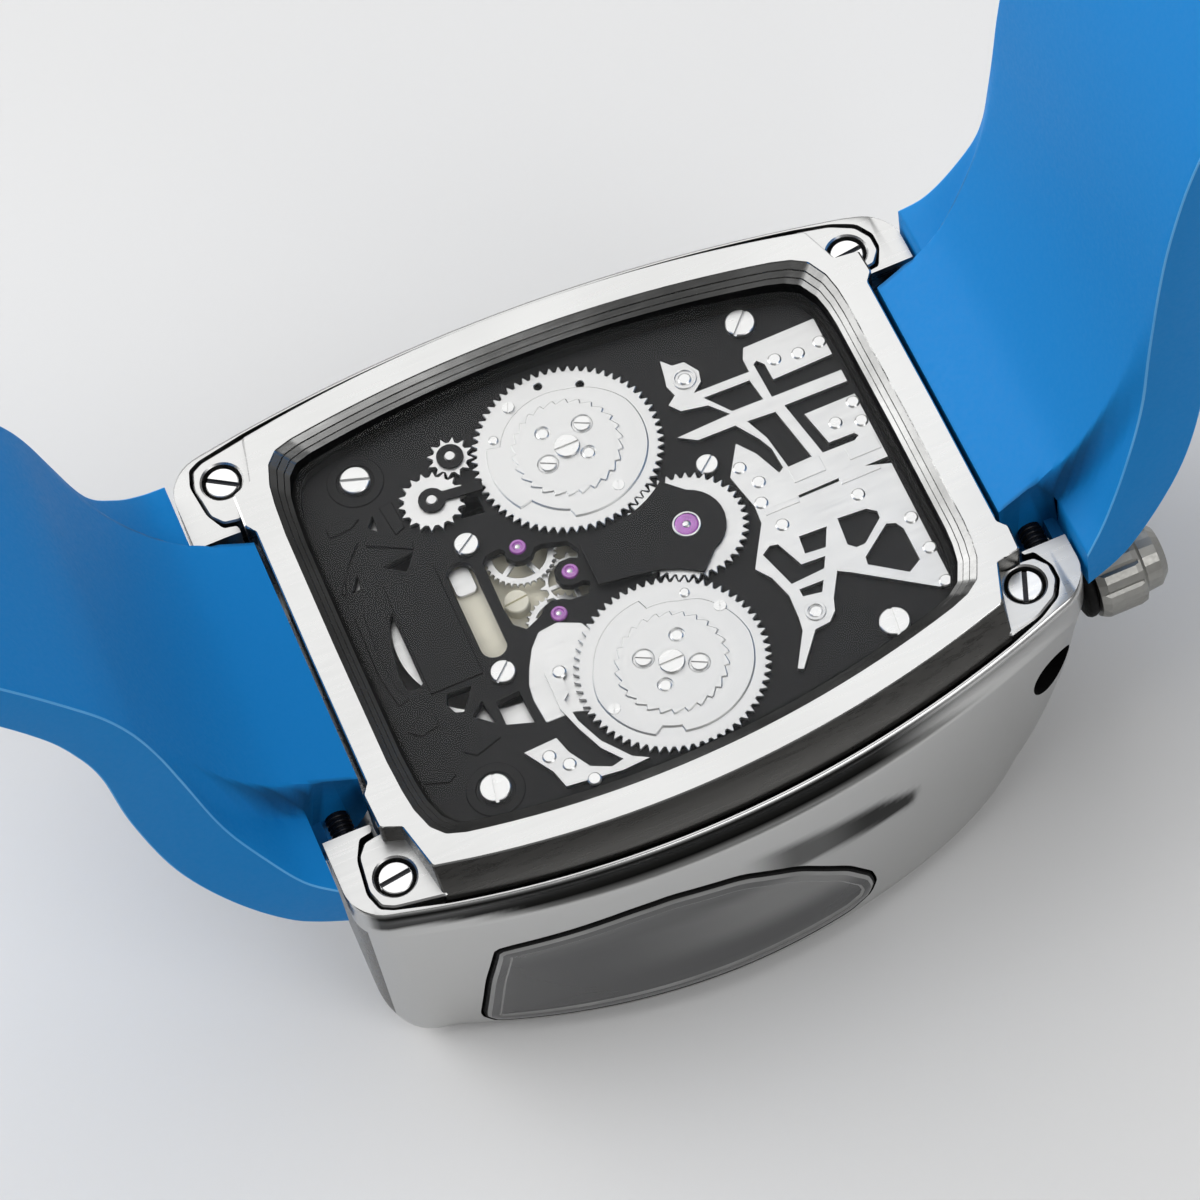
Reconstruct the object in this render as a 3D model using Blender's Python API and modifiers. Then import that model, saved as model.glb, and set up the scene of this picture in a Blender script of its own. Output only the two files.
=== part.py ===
"""Tonneau skeleton wristwatch lying on its front crystal, case back up, rubber strap open.

Frame: metres, +Z out of the case back, +X from the 12 o'clock end to the crown end.
The driving sizes below are in millimetres.
"""

import math

import bmesh
import bpy
from mathutils import Matrix, Vector

# Case
LUG_END_12, LUG_END_6 = -26.5, 27.0
LUG_TOP = 18.6
LUG_GAP_HALF = 12.3
RIM_SAG = 1.2
CASE_HALF_WIDTH = 21.8
CASE_TAPER, CASE_BARREL = 0.0376, 0.00581
FRONT_EDGE = 0.6
CORNER_12, CORNER_6 = 2.2, 2.0
FLANK_FLARE, FLANK_BULGE = 2.3, 1.4
RECESS_FLOOR = 15.9
FIT = 0.12

# Rear cover
RING_HALF_WIDTH, RING_TAPER, RING_BARREL = 19.79, 0.0405, 0.00618
RING_TOP_MID, RING_RISE = 20.0, 0.6
RING_LAND = 2.0
CHAMFER_IN, CHAMFER_DOWN = 1.1, 0.93
COVER_BASE = 16.1
CRYSTAL_SEAT = 18.4
SEAT_LEDGE = 0.3
REAR_SCREWS = ((-23.0, 16.6), (-23.0, -16.6), (23.0, 14.63), (23.0, -14.63))

# Movement
BRIDGE_Z = (16.0, 17.6)
WHEEL_Z = (17.7, 18.0)
WHEEL_X, WHEEL_MID_Y, WHEEL_OFF_Y = -0.44, -0.32, 9.26
IDLER_X = 4.56
WHEEL_TEETH, IDLER_TEETH = 64, 40
BIG_SCREW, SMALL_SCREW = 1.05, 0.85
BRIDGE_SCREWS = (
    (-14.6, 13.05, BIG_SCREW),
    (-14.6, -13.05, BIG_SCREW),
    (14.2, 13.05, BIG_SCREW),
    (14.2, -13.05, BIG_SCREW),
    (-9.5, 5.0, SMALL_SCREW),
    (-10.9, -5.2, SMALL_SCREW),
    (7.7, 3.6, SMALL_SCREW),
)
JEWELS = ((-6.4, 3.4, 0.5), (-3.9, 0.1, 0.5), (-5.8, -2.6, 0.5))
BALANCE_AT, BALANCE_R = (-10.3, -0.35), 6.6
SETTING_A, SETTING_B = (-10.4, 9.1), (-8.0, 11.8)
SETTING_TEETH = (18, 12)

# Front
FRONT_X, FRONT_HALF_Y = (-19.0, 11.5), 14.2
CAVITY_X, CAVITY_HALF_Y = (-20.4, 18.4), 15.2
CAVITY_FLOOR = 4.6
HANDS_X = -3.75

# Crown
CROWN_Y, CROWN_Z = -13.3, 13.2
CROWN_R, GASKET_R, STEM_R = 3.0, 2.3, 0.7

# Strap
TONGUE_HALF = 9.9
BAR_12, BAR_6 = (-24.9, 16.7), (25.4, 16.7)
BAR_R = 0.75
BUCKLE_HALF = 14.0

for stale in list(bpy.data.objects):
    bpy.data.objects.remove(stale, do_unlink=True)

WATCH = bpy.data.collections.new("skeleton_wristwatch")
CUTTERS = bpy.data.collections.new("cutters")
CUTTERS.hide_render = True
bpy.context.scene.collection.children.link(WATCH)
bpy.context.scene.collection.children.link(CUTTERS)


def material(name, colour, metallic, roughness, alpha=1.0):
    made = bpy.data.materials.new(name)
    made.use_nodes = True
    shader = made.node_tree.nodes["Principled BSDF"]
    shader.inputs["Base Color"].default_value = (*colour, 1.0)
    shader.inputs["Metallic"].default_value = metallic
    shader.inputs["Roughness"].default_value = roughness
    shader.inputs["Alpha"].default_value = alpha
    return made


STEEL = material("polished_steel", (0.72, 0.71, 0.69), 1.0, 0.22)
NICKEL = material("nickel_silver", (0.86, 0.86, 0.87), 1.0, 0.3)
BLACK = material("black_plated_brass", (0.03, 0.03, 0.032), 0.4, 0.45)
CREAM = material("pale_brass", (0.78, 0.74, 0.56), 0.8, 0.4)
JEWEL = material("synthetic_ruby", (0.72, 0.22, 0.62), 0.0, 0.1)
GLASS = material("sapphire_crystal", (0.9, 0.93, 0.95), 0.0, 0.03, 0.25)
SMOKED = material("smoked_crystal", (0.06, 0.06, 0.065), 0.0, 0.06)
RUBBER = material("blue_rubber", (0.02, 0.2, 0.55), 0.0, 0.5)
SEAL = material("black_seal", (0.02, 0.02, 0.02), 0.0, 0.6)
DIAL = material("dial_lacquer", (0.05, 0.05, 0.06), 0.2, 0.4)


def place(name, mesh, paint, group=WATCH, smooth=False):
    """Links a mesh given in millimetres as an object in metres."""
    mesh.transform(Matrix.Scale(0.001, 4))
    mesh.update()
    obj = bpy.data.objects.new(name, mesh)
    if paint:
        mesh.materials.append(paint)
    if smooth:
        for face in mesh.polygons:
            face.use_smooth = True
    group.objects.link(obj)
    if group is CUTTERS:
        obj.hide_render = True
        obj.display_type = "WIRE"
    return obj


def set_origin(obj, x, y, z):
    """Moves the object's origin to a point on its joint axis, in millimetres."""
    shift = Vector((x, y, z)) / 1000
    obj.data.transform(Matrix.Translation(-shift))
    obj.location = shift


def mesh_of(bm, name):
    bmesh.ops.recalc_face_normals(bm, faces=bm.faces)
    mesh = bpy.data.meshes.new(name)
    bm.to_mesh(mesh)
    bm.free()
    return mesh


def loft(name, loops, ring=False):
    """A solid through loops of equal length: capped at both ends, or closed on itself."""
    bm = bmesh.new()
    rows = [[bm.verts.new(p) for p in loop] for loop in loops]
    pairs = list(zip(rows, rows[1:]))
    if ring:
        pairs.append((rows[-1], rows[0]))
    for low, high in pairs:
        for i in range(len(low)):
            j = (i + 1) % len(low)
            bm.faces.new((low[i], low[j], high[j], high[i]))
    if not ring:
        bm.faces.new(rows[0][::-1])
        bm.faces.new(rows[-1])
    return mesh_of(bm, name)


def plate(name, outline, z0, z1, holes=()):
    """A flat plate from a filled 2D curve with holes."""
    curve = bpy.data.curves.new(name, "CURVE")
    curve.dimensions = "2D"
    curve.fill_mode = "BOTH"
    curve.extrude = (z1 - z0) / 2
    for points in (outline, *holes):
        spline = curve.splines.new("POLY")
        spline.points.add(len(points) - 1)
        for point, (x, y) in zip(spline.points, points):
            point.co = (x, y, 0, 1)
        spline.use_cyclic_u = True
    holder = bpy.data.objects.new(name + "_curve", curve)
    bpy.context.scene.collection.objects.link(holder)
    graph = bpy.context.evaluated_depsgraph_get()
    mesh = bpy.data.meshes.new_from_object(holder.evaluated_get(graph))
    bpy.data.objects.remove(holder, do_unlink=True)
    bpy.data.curves.remove(curve)
    bm = bmesh.new()
    bm.from_mesh(mesh)
    bpy.data.meshes.remove(mesh)
    bmesh.ops.remove_doubles(bm, verts=bm.verts, dist=1e-5)
    bmesh.ops.translate(bm, verts=bm.verts, vec=(0, 0, (z0 + z1) / 2))
    return mesh_of(bm, name)


def circle(x, y, r, steps=20, start=0.0):
    turn = 2 * math.pi / steps
    return [
        (x + r * math.cos(start + i * turn), y + r * math.sin(start + i * turn))
        for i in range(steps)
    ]


def rod(name, at, r, z0, z1, paint, group=WATCH, steps=20):
    return place(name, plate(name, circle(*at, r, steps), z0, z1), paint, group)


def box(name, x, y, z, paint=None, group=CUTTERS):
    outline = [(x[0], y[0]), (x[1], y[0]), (x[1], y[1]), (x[0], y[1])]
    return place(name, plate(name, outline, *z), paint, group)


def rounded(x0, x1, half_y, r, steps=5):
    """A rounded rectangle about the X axis."""
    corners = ((x1 - r, half_y - r, 0), (x0 + r, half_y - r, 1), (x0 + r, r - half_y, 2), (x1 - r, r - half_y, 3))
    points = []
    for cx, cy, quarter in corners:
        for i in range(steps + 1):
            a = (quarter + i / steps) * math.pi / 2
            points.append((cx + r * math.cos(a), cy + r * math.sin(a)))
    return points


def turned(name, profile, steps, paint, group=WATCH):
    """A turned piece: the (radius, height) profile runs down its outer side, spun by Screw."""
    mesh = bpy.data.meshes.new(name)
    mesh.from_pydata([(r, 0, h) for r, h in profile], [(i, i + 1) for i in range(len(profile) - 1)], [])
    obj = place(name, mesh, paint, group)
    screw = obj.modifiers.new("spin", "SCREW")
    screw.steps = screw.render_steps = steps
    screw.use_merge_vertices = True
    screw.merge_threshold = 1e-6
    screw.use_smooth_shade = False
    return obj


def boolean(obj, other, operation="DIFFERENCE"):
    step = obj.modifiers.new(operation.lower() + "_" + other.name, "BOOLEAN")
    step.operation = operation
    step.solver = "EXACT"
    step.object = other


def half_width(x, base=CASE_HALF_WIDTH, taper=CASE_TAPER, barrel=CASE_BARREL):
    return base - taper * x - barrel * x * x


def case_half(x):
    """Plan half width at the rim, with the lug corners rounded off."""
    wide = half_width(x)
    for end, r in ((LUG_END_12, CORNER_12), (LUG_END_6, CORNER_6)):
        into = r - abs(x - end)
        if into > 0:
            wide -= r - math.sqrt(max(0.0, r * r - into * into))
    return wide


def rim(x):
    return LUG_TOP - RIM_SAG * max(0.0, 1 - (x / 24) ** 2)


def front_edge(x):
    """Height of the front edge: blunt at 12 o'clock, swept up to the crown end."""
    if x < -22.9:
        return FRONT_EDGE + 3.8 * (1 - math.sqrt(max(0.0, 1 - ((-22.9 - x) / 3.6) ** 2)))
    if x > 11:
        return FRONT_EDGE + 11.3 * ((x - 11) / 16) ** 2.8
    return FRONT_EDGE


def flank(x):
    """(half width, height) down the flank, from the front edge up to the rim."""
    low, top, wide = front_edge(x), rim(x), case_half(x)
    bulge = max(0.0, 1 - (x / 25.5) ** 2) ** 0.7
    flare = 0.3 + FLANK_FLARE * max(0.0, 1 - ((x + 1) / 21) ** 2) - 1.2 * max(0.0, (x - 17) / 8) ** 2
    foot, shoulder = low + 0.9, top - 3.0
    rows = [(wide + flare - 1.1, low), (wide + flare, foot)]
    for share in (0.28, 0.52, 0.78):
        out = flare * (1 - share) + 0.3 * bulge * share + FLANK_BULGE * bulge * share * (1 - share)
        rows.append((wide + out, foot + share * (shoulder - foot)))
    rows += [
        (wide + 0.3 * bulge, shoulder),
        (wide - 0.3 * bulge, top - 2.2),
        (wide - 0.3 * bulge, top - 1.0),
        (wide, top - 0.4),
        (wide - 0.25, top),
    ]
    return rows


def stations(start, end, count):
    return [start + (end - start) * i / (count - 1) for i in range(count)]


def mirrored(points):
    """A loop symmetric about the X axis, from points that run along its -Y half."""
    return points + [(x, -y) for x, y in reversed(points)]


def grown(points, by_x, by_y):
    reach_x = max(abs(x) for x, _ in points)
    reach_y = max(abs(y) for _, y in points)
    return [(x * (1 + by_x / reach_x), y * (1 + by_y / reach_y)) for x, y in points]


def base_half(x):
    return half_width(x, CASE_HALF_WIDTH - 0.73)


TAB_12 = [(-23.0, 13.2), (-24.0, 13.4), (-24.7, 14.3), (-25.0, 16.9), (-24.6, 18.2), (-23.8, 18.65)]
TAB_6 = [(22.8, 17.2), (24.4, 16.3), (25.1, 15.1), (25.1, 13.9), (24.4, 13.0), (23.65, 12.9)]


def cover_outline(gap):
    """Plan of the seat of the rear cover and its four screw tabs, with a gap all round."""
    half = [(x - gap, 2 * gap - y) for x, y in TAB_12[:2]]
    half += [(x - gap, -y - gap) for x, y in TAB_12[2:]]
    half += [(x, -base_half(x) - gap) for x in stations(-20.5, 20.5, 12)]
    half += [(x + gap, -y - gap) for x, y in TAB_6[:4]]
    half += [(x + gap, 2 * gap - y) for x, y in TAB_6[4:]]
    return mirrored(half)


def build_case():
    ends = [0.0, 0.12, 0.6, 1.3]
    xs = [LUG_END_12 + d for d in ends]
    xs += stations(-24.3, 24.9, 19)
    xs += [LUG_END_6 - d for d in reversed(ends)]
    loops = []
    for x in xs:
        side = [(x, -w, z) for w, z in flank(x)]
        loops.append(side + [(x, -y, z) for x, y, z in reversed(side)])
    case = place("case_middle", loft("case_middle", loops), STEEL)
    recess = place("recess", plate("recess", cover_outline(FIT), RECESS_FLOOR, 25), None, CUTTERS)
    boolean(case, recess)
    boolean(case, box("slot_12", (-32, -22.1), (-LUG_GAP_HALF, LUG_GAP_HALF), (12.9, 30)))
    boolean(case, box("slot_6", (22.6, 32), (-LUG_GAP_HALF, LUG_GAP_HALF), (12.9, 30)))
    cavity = plate("cavity", rounded(*CAVITY_X, CAVITY_HALF_Y, 2.0), CAVITY_FLOOR, 20)
    boolean(case, place("cavity", cavity, None, CUTTERS))
    front = plate("front_opening", rounded(*FRONT_X, FRONT_HALF_Y, 3.0), -3, CAVITY_FLOOR + 1)
    boolean(case, place("front_opening", front, None, CUTTERS))
    for n, (x, y) in enumerate(REAR_SCREWS):
        boolean(case, rod(f"screw_hole_{n}", (x, y), 0.65, 14.75, 25, None, CUTTERS, 12))
    for side in (-1, 1):
        boolean(case, place(f"pane_pocket_{side}", pane("pocket", side, 0.12, 1.35, 3.0), None, CUTTERS))
    for n, (x, z) in enumerate((BAR_12, BAR_6)):
        bar = rod(f"bar_hole_{n}", (0, 0), 0.55, -13.6, 13.6, None, CUTTERS, 12)
        bar.matrix_world = Matrix.Translation(Vector((x, 0, z)) / 1000) @ Matrix.Rotation(math.pi / 2, 4, "X")
        boolean(case, bar)
    bore = rod("stem_bore", (0, 0), 1.25, 19.6, 40, None, CUTTERS, 16)
    bore.matrix_world = Matrix.Translation(Vector((0, CROWN_Y, CROWN_Z)) / 1000) @ Matrix.Rotation(math.pi / 2, 4, "Y")
    boolean(case, bore)
    port = rod("flank_port", (0, 0), 2.0, 0, 4, None, CUTTERS, 20)
    port.matrix_world = (
        Matrix.Translation(Vector((22.9, -15.6, 11.0)) / 1000)
        @ Matrix.Rotation(0.3, 4, "Z")
        @ Matrix.Rotation(math.pi / 2, 4, "X")
    )
    boolean(case, port)


PANE_X = (-20.4, 7.6)
PANE_FOOT, PANE_TOP = 1.7, 12.0


def pane_band(x):
    """Lower and upper height of the side pane at x: tall at 12 o'clock, falling to a nose at the crown end."""
    fall = max(0.0, (x + 5) / (PANE_X[1] + 5))
    nose = max(0.0, 1 - (PANE_X[1] - x) / 0.8)
    return PANE_FOOT + 0.3 * nose, PANE_TOP - 8.0 * fall ** 1.9


def flank_at(x, z):
    rows = flank(x)
    for (w0, z0), (w1, z1) in zip(rows, rows[1:]):
        if z <= z1:
            return w0 + (w1 - w0) * (z - z0) / (z1 - z0)
    return rows[-1][0]


def pane(name, side, grow, depth, proud):
    """A pillow pane that follows the flank, or the pocket that holds it."""
    loops = []
    for along in (0.0, 0.04, 0.15, 0.28, 0.4, 0.5, 0.6, 0.7, 0.8, 0.9, 0.97, 1.0):
        x = PANE_X[0] + along * (PANE_X[1] - PANE_X[0])
        low, top = pane_band(x)
        x += grow * (2 * along - 1)
        slant = 1.9 * max(0.0, 1 - along / 0.3)
        low, top = low - grow, top + grow
        face, back = [], []
        for t in (0.0, 0.12, 0.5, 0.88, 1.0):
            at, z = x + slant * t, low + t * (top - low)
            skin = flank_at(at, z)
            lift = proud if proud > 1 else proud * (1.0 if 0 < t < 1 and 0 < along < 1 else 0.0)
            face.append((at, side * (skin + lift), z))
            back.append((at, side * (skin - depth), z))
        loops.append(face + back[::-1])
    return loft(name, loops)


def ring_top(x):
    return RING_TOP_MID + RING_RISE * (x / 21) ** 2


def ring_half(x):
    return half_width(x, RING_HALF_WIDTH, RING_TAPER, RING_BARREL)


def cover_loops():
    """Plan loops of the cover: ring outer edge, foot of its wall and inner edge, matched point for point."""
    xs = stations(-18.0, 18.0, 11)
    outer = [(-22.4, 0), (-22.35, -10.6), (-22.9, -11.2), (-22.8, -13.9), (-21.4, -14.4), (-20.6, -18.0)]
    outer += [(x, -ring_half(x)) for x in xs]
    outer += [(20.7, -16.3), (21.7, -13.3), (23.4, -13.1), (23.5, -11.2), (22.95, -10.6), (23.0, 0)]
    corners = [(-20.6, -base_half(-20.6)), (20.7, -base_half(20.7))]
    foot = outer[:5] + corners[:1] + [(x, -base_half(x)) for x in xs] + corners[1:] + outer[-5:]
    inner = [(-20.6, 0), (-20.55, -9.5), (-20.4, -12.0), (-20.2, -13.6), (-19.7, -15.2), (-18.9, -16.1)]
    inner += [(x * 0.98, RING_LAND - ring_half(x)) for x in xs]
    inner += [(18.9, -14.6), (19.9, -13.9), (20.6, -12.4), (20.85, -11.0), (20.95, -9.5), (21.0, 0)]
    return outer, foot, inner


def whole(points):
    return points + [(x, -y) for x, y in reversed(points[1:-1])]


def build_cover():
    outer, foot, inner = (whole(half) for half in cover_loops())
    window = grown(inner, -CHAMFER_IN, -CHAMFER_IN)
    ledge = grown(window, -SEAT_LEDGE, -SEAT_LEDGE)
    wall = []
    for (x, y), (ox, oy) in zip(foot, outer):
        wall.append((x, y, rim(x) - 0.2 if abs(y) > abs(oy) + 0.3 else LUG_TOP - 1.0))
    loops = [
        [(x, y, COVER_BASE) for x, y in foot],
        wall,
        [(x, y, ring_top(x)) for x, y in outer],
        [(x, y, ring_top(x)) for x, y in inner],
        [(x, y, ring_top(x) - CHAMFER_DOWN) for x, y in window],
        [(x, y, CRYSTAL_SEAT) for x, y in window],
        [(x, y, CRYSTAL_SEAT) for x, y in ledge],
        [(x, y, COVER_BASE) for x, y in ledge],
    ]
    cover = place("rear_cover", loft("rear_cover", loops, ring=True), STEEL)
    shapes = (
        [(-20.2, 13.5)] + TAB_12 + [(-20.2, 19.3)],
        [(20.4, 17.8)] + TAB_6 + [(20.6, 13.0)],
    )
    for n, shape in enumerate(shapes):
        for side in (-1, 1):
            outline = [(x, side * y) for x, y in shape]
            tab = plate("tab", outline, COVER_BASE, LUG_TOP)
            boolean(cover, place(f"tab_{n}_{side}", tab, None, CUTTERS), "UNION")
    for n, at in enumerate(REAR_SCREWS):
        boolean(cover, rod(f"head_recess_{n}", at, 1.3, 17.7, 25, None, CUTTERS, 16))
        boolean(cover, rod(f"shank_hole_{n}", at, 0.65, 10, 25, None, CUTTERS, 12))
    crystal = plate("rear_crystal", grown(window, -0.12, -0.12), CRYSTAL_SEAT + 0.05, CRYSTAL_SEAT + 0.6)
    place("rear_crystal", crystal, GLASS)


def slotted_screw(name, at, head_r, head_z, shank_r, tip_z, paint, turn, steps=16):
    """A cheese head screw with a driver slot."""
    low, top = head_z
    profile = [(0, top), (head_r - 0.1, top), (head_r, top - 0.1), (head_r, low), (shank_r, low), (shank_r, tip_z), (0, tip_z)]
    screw = turned(name, profile, steps, paint)
    screw.location = Vector((*at, 0)) / 1000
    slot = box(name + "_slot", (-3, 3), (-0.16, 0.16), (top - 0.22, top + 1))
    slot.matrix_world = Matrix.Translation(Vector((*at, 0)) / 1000) @ Matrix.Rotation(turn, 4, "Z")
    boolean(screw, slot)
    return screw


def gear(teeth, module, phase=0.0, tip=0.85, root=1.15, width=0.36):
    """Outline of a wheel with pointed teeth that leave backlash."""
    pitch_r = teeth * module / 2
    step = 2 * math.pi / teeth
    points = []
    for i in range(teeth):
        mid = phase + i * step
        for r, share in ((-root, -width), (tip, 0.0), (-root, width)):
            a = mid + share * step
            points.append(((pitch_r + r * module) * math.cos(a), (pitch_r + r * module) * math.sin(a)))
    return points


def moved(points, x, y):
    return [(px + x, py + y) for px, py in points]


def wheel(name, at, outline, z, bore, paint, holes=()):
    obj = place(name, plate(name, outline, *z, [circle(0, 0, bore, 12), *holes]), paint)
    obj.location = Vector((*at, 0)) / 1000
    return obj


def build_wheels():
    """Two ratchet wheels driven through one intermediate wheel."""
    gap = math.hypot(IDLER_X - WHEEL_X, WHEEL_OFF_Y)
    module = 2 * gap / (WHEEL_TEETH + IDLER_TEETH)
    idler_step = 2 * math.pi / IDLER_TEETH
    screw_ring = [circle(2.0 * math.cos(a), 2.0 * math.sin(a), 0.3, 8) for a in (0.9, 2.47, 4.04, 5.61)]
    for name, side in (("upper", 1), ("lower", -1)):
        at = (WHEEL_X, WHEEL_MID_Y + side * WHEEL_OFF_Y)
        toward = math.atan2(-side * WHEEL_OFF_Y, IDLER_X - WHEEL_X)
        lag = 0.0 if side > 0 else (2 * math.atan2(WHEEL_OFF_Y, WHEEL_X - IDLER_X) / idler_step) % 1.0
        outline = gear(WHEEL_TEETH, module, toward - lag * 2 * math.pi / WHEEL_TEETH)
        wheel(f"ratchet_wheel_{name}", at, outline, WHEEL_Z, 0.55, NICKEL, screw_ring)
        slotted_screw(f"ratchet_screw_{name}", at, 0.8, (18.05, 18.3), 0.45, 16.6, NICKEL, 0.45)
    toward = math.atan2(WHEEL_OFF_Y, WHEEL_X - IDLER_X)
    phase = toward + idler_step / 2
    wheel("intermediate_wheel", (IDLER_X, WHEEL_MID_Y), gear(IDLER_TEETH, module, phase), WHEEL_Z, 0.5, NICKEL)


def arc(cx, cy, r, start, end, steps):
    return [
        (cx + r * math.cos(a), cy + r * math.sin(a))
        for a in (math.radians(d) for d in stations(start, end, steps))
    ]


def train_opening():
    """Opening over the going train: three lobes of the bridge reach in to the jewels."""
    cx, cy = -6.0, 0.3
    points = []
    for i in range(40):
        a = 2 * math.pi * i / 40
        r = 3.3
        for jx, jy, _ in JEWELS:
            away = math.hypot(jx - cx, jy - cy)
            turn = math.atan2(jy - cy, jx - cx)
            off = math.atan2(math.sin(a - turn), math.cos(a - turn))
            r -= (3.3 - away + 1.0) * math.exp(-((off * away / 1.0) ** 2))
        points.append((cx + max(r, 0.8) * math.cos(a), cy + max(r, 0.8) * math.sin(a)))
    return points


def stadium(x, y0, y1, r):
    top = [(x + r * math.cos(a), y1 + r * math.sin(a)) for a in (math.pi * i / 6 for i in range(7))]
    return top + [(x - r * math.cos(a), y0 - r * math.sin(a)) for a in (math.pi * i / 6 for i in range(7))]


def band(at, r0, r1, start, end, steps=7):
    """An arc-shaped window."""
    return arc(*at, r1, start, end, steps) + arc(*at, r0, end, start, steps)


def bridge_outline(inset):
    _, _, inner = cover_loops()
    return grown(whole(inner), -CHAMFER_IN - SEAT_LEDGE - inset, -CHAMFER_IN - SEAT_LEDGE - inset)


def build_bridge():
    holes = [train_opening(), stadium(-10.7, -2.3, 2.5, 0.87)]
    holes += [band(BALANCE_AT, 5.5, 6.7, 160, 212), band(BALANCE_AT, 4.9, 6.9, 226, 244, 5)]
    holes.append(band(BALANCE_AT, 4.9, 6.9, 252, 282, 5))
    holes.append([(-8.6, -4.6), (-6.7, -4.9), (-6.5, -8.4), (-8.1, -8.2)])
    holes.append([(-16.6, 7.8), (-14.6, 9.4), (-15.2, 6.4)])
    holes.append([(-14.0, 7.6), (-12.6, 6.4), (-13.6, 4.6)])
    holes += [circle(x, y, 0.55, 10) for x, y, _ in BRIDGE_SCREWS]
    holes += [circle(x, y, 0.56, 12) for x, y, _ in JEWELS]
    holes += [circle(WHEEL_X, WHEEL_MID_Y + s * WHEEL_OFF_Y, 0.55, 12) for s in (-1, 1)]
    holes += [circle(IDLER_X, WHEEL_MID_Y, 0.45, 12), circle(*SETTING_A, 0.4, 10), circle(*SETTING_B, 0.4, 10)]
    place("bridge_plate", plate("bridge_plate", bridge_outline(0.12), *BRIDGE_Z, holes), BLACK)
    for n, (x, y, r) in enumerate(BRIDGE_SCREWS):
        slotted_screw(f"bridge_screw_{n + 1}", (x, y), r, (17.66, 18.0), 0.48, 16.3, NICKEL, 0.4 + 0.9 * n)
    for n, (x, y, r) in enumerate(JEWELS):
        rod(f"jewel_{n + 1}", (x, y), r, 16.9, 17.75, JEWEL, WATCH, 16)
    cock = [(-2.6, -2.0), (-2.6, 1.5)]
    cock += arc(WHEEL_X, WHEEL_MID_Y + WHEEL_OFF_Y, 7.1, 278, 311, 6)
    cock += arc(IDLER_X, WHEEL_MID_Y, 2.7, 68, -68, 12)
    cock += arc(WHEEL_X, WHEEL_MID_Y - WHEEL_OFF_Y, 7.1, 49, 82, 6)
    hub = circle(IDLER_X, WHEEL_MID_Y, 0.85, 16)
    top = place("intermediate_cock", plate("intermediate_cock", cock, 18.06, 18.25, [hub]), BLACK)
    foot = box("cock_foot", (-2.5, -0.6), (-1.7, 1.2), (17.65, 18.2))
    boolean(top, foot, "UNION")
    profile = [(0, 18.3), (0.8, 18.3), (0.8, 18.05), (0.42, 18.05), (0.42, 16.4), (0, 16.4)]
    jewel = turned("intermediate_jewel", profile, 16, JEWEL)
    jewel.location = Vector((IDLER_X, WHEEL_MID_Y, 0)) / 1000


SKELETON = [
    (8.0, 12.6), (8.6, 11.9), (9.45, 11.8), (10.1, 10.7), (9.9, 9.85), (9.1, 9.2), (13.2, 9.1), (13.2, 10.2),
    (13.6, 11.05), (18.9, 11.1), (18.9, 7.9), (14.45, 7.8), (14.4, 9.2), (14.0, 9.7), (13.7, 9.5), (13.8, 6.55),
    (18.95, 6.45), (18.95, 5.45), (14.3, 5.55), (15.15, 0.95), (17.5, 0.9), (17.9, 1.15), (17.7, 1.45),
    (15.85, 1.5), (15.25, 4.3), (19.0, 4.3), (19.0, -1.25), (17.3, -1.25), (19.0, -1.85), (18.9, -11.8),
    (18.0, -12.0), (13.1, -8.4), (12.3, -7.9), (11.25, -9.7), (10.95, -10.6), (10.3, -11.25), (9.2, -11.35),
    (7.3, -13.75), (6.95, -13.55), (8.4, -11.05), (8.55, -10.1), (8.65, -8.25), (8.15, -6.5), (7.4, -5.4),
    (8.2, -4.0), (9.2, -2.3), (9.3, -0.9), (8.9, 0.9), (8.7, 1.9), (10.1, 4.2), (11.05, 2.85), (11.85, 0.8), (12.25, 1.05),
    (12.15, 2.75), (11.7, 3.85), (10.65, 5.55), (7.9, 5.6), (6.7, 6.4), (10.7, 6.55), (9.6, 7.85), (7.75, 8.25),
    (7.15, 9.05), (7.85, 9.6), (7.6, 10.5), (7.8, 11.4),
]
SKELETON_HOLES = [
    [(9.55, 8.55), (12.95, 8.45), (13.2, 6.65), (10.9, 6.7)],
    [(11.5, 5.5), (13.55, 5.35), (14.35, 1.0), (12.6, 0.95), (12.2, 3.7)],
    [(13.95, -4.2), (16.0, -4.35), (16.6, -4.85), (16.55, -5.4), (14.85, -6.8), (14.2, -6.8), (13.75, -6.35)],
    [(16.75, -6.0), (17.35, -6.25), (17.65, -6.85), (17.65, -9.5), (16.65, -10.1), (14.35, -8.35), (14.45, -7.75)],
    [(11.05, -4.35), (13.05, -4.45), (12.35, -5.9), (10.9, -5.75)],
    [(8.3, -4.6), (9.0, -4.15), (9.55, -4.3), (10.35, -6.4), (12.05, -6.5), (11.6, -7.35), (9.15, -7.5)],
    [(9.45, -8.1), (11.2, -8.15), (10.75, -8.95), (9.45, -8.7)],
    [(12.3, -1.4), (15.3, -1.35), (15.25, -1.6), (12.3, -1.62)],
]
YOKE = [
    (-7.6, -5.75), (-7.45, -7.2), (-7.55, -8.6), (-8.0, -9.0), (-7.75, -10.85), (-6.95, -12.85), (-5.5, -14.8),
    (-4.5, -15.4), (-6.4, -15.5), (-10.3, -15.0), (-10.65, -13.65), (-11.9, -11.5), (-9.55, -11.4), (-9.2, -12.7),
    (-8.3, -14.3), (-7.0, -14.95), (-6.1, -14.75), (-7.15, -13.35), (-7.95, -11.35), (-8.5, -9.45), (-8.45, -7.8),
    (-8.45, -6.45),
]


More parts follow.
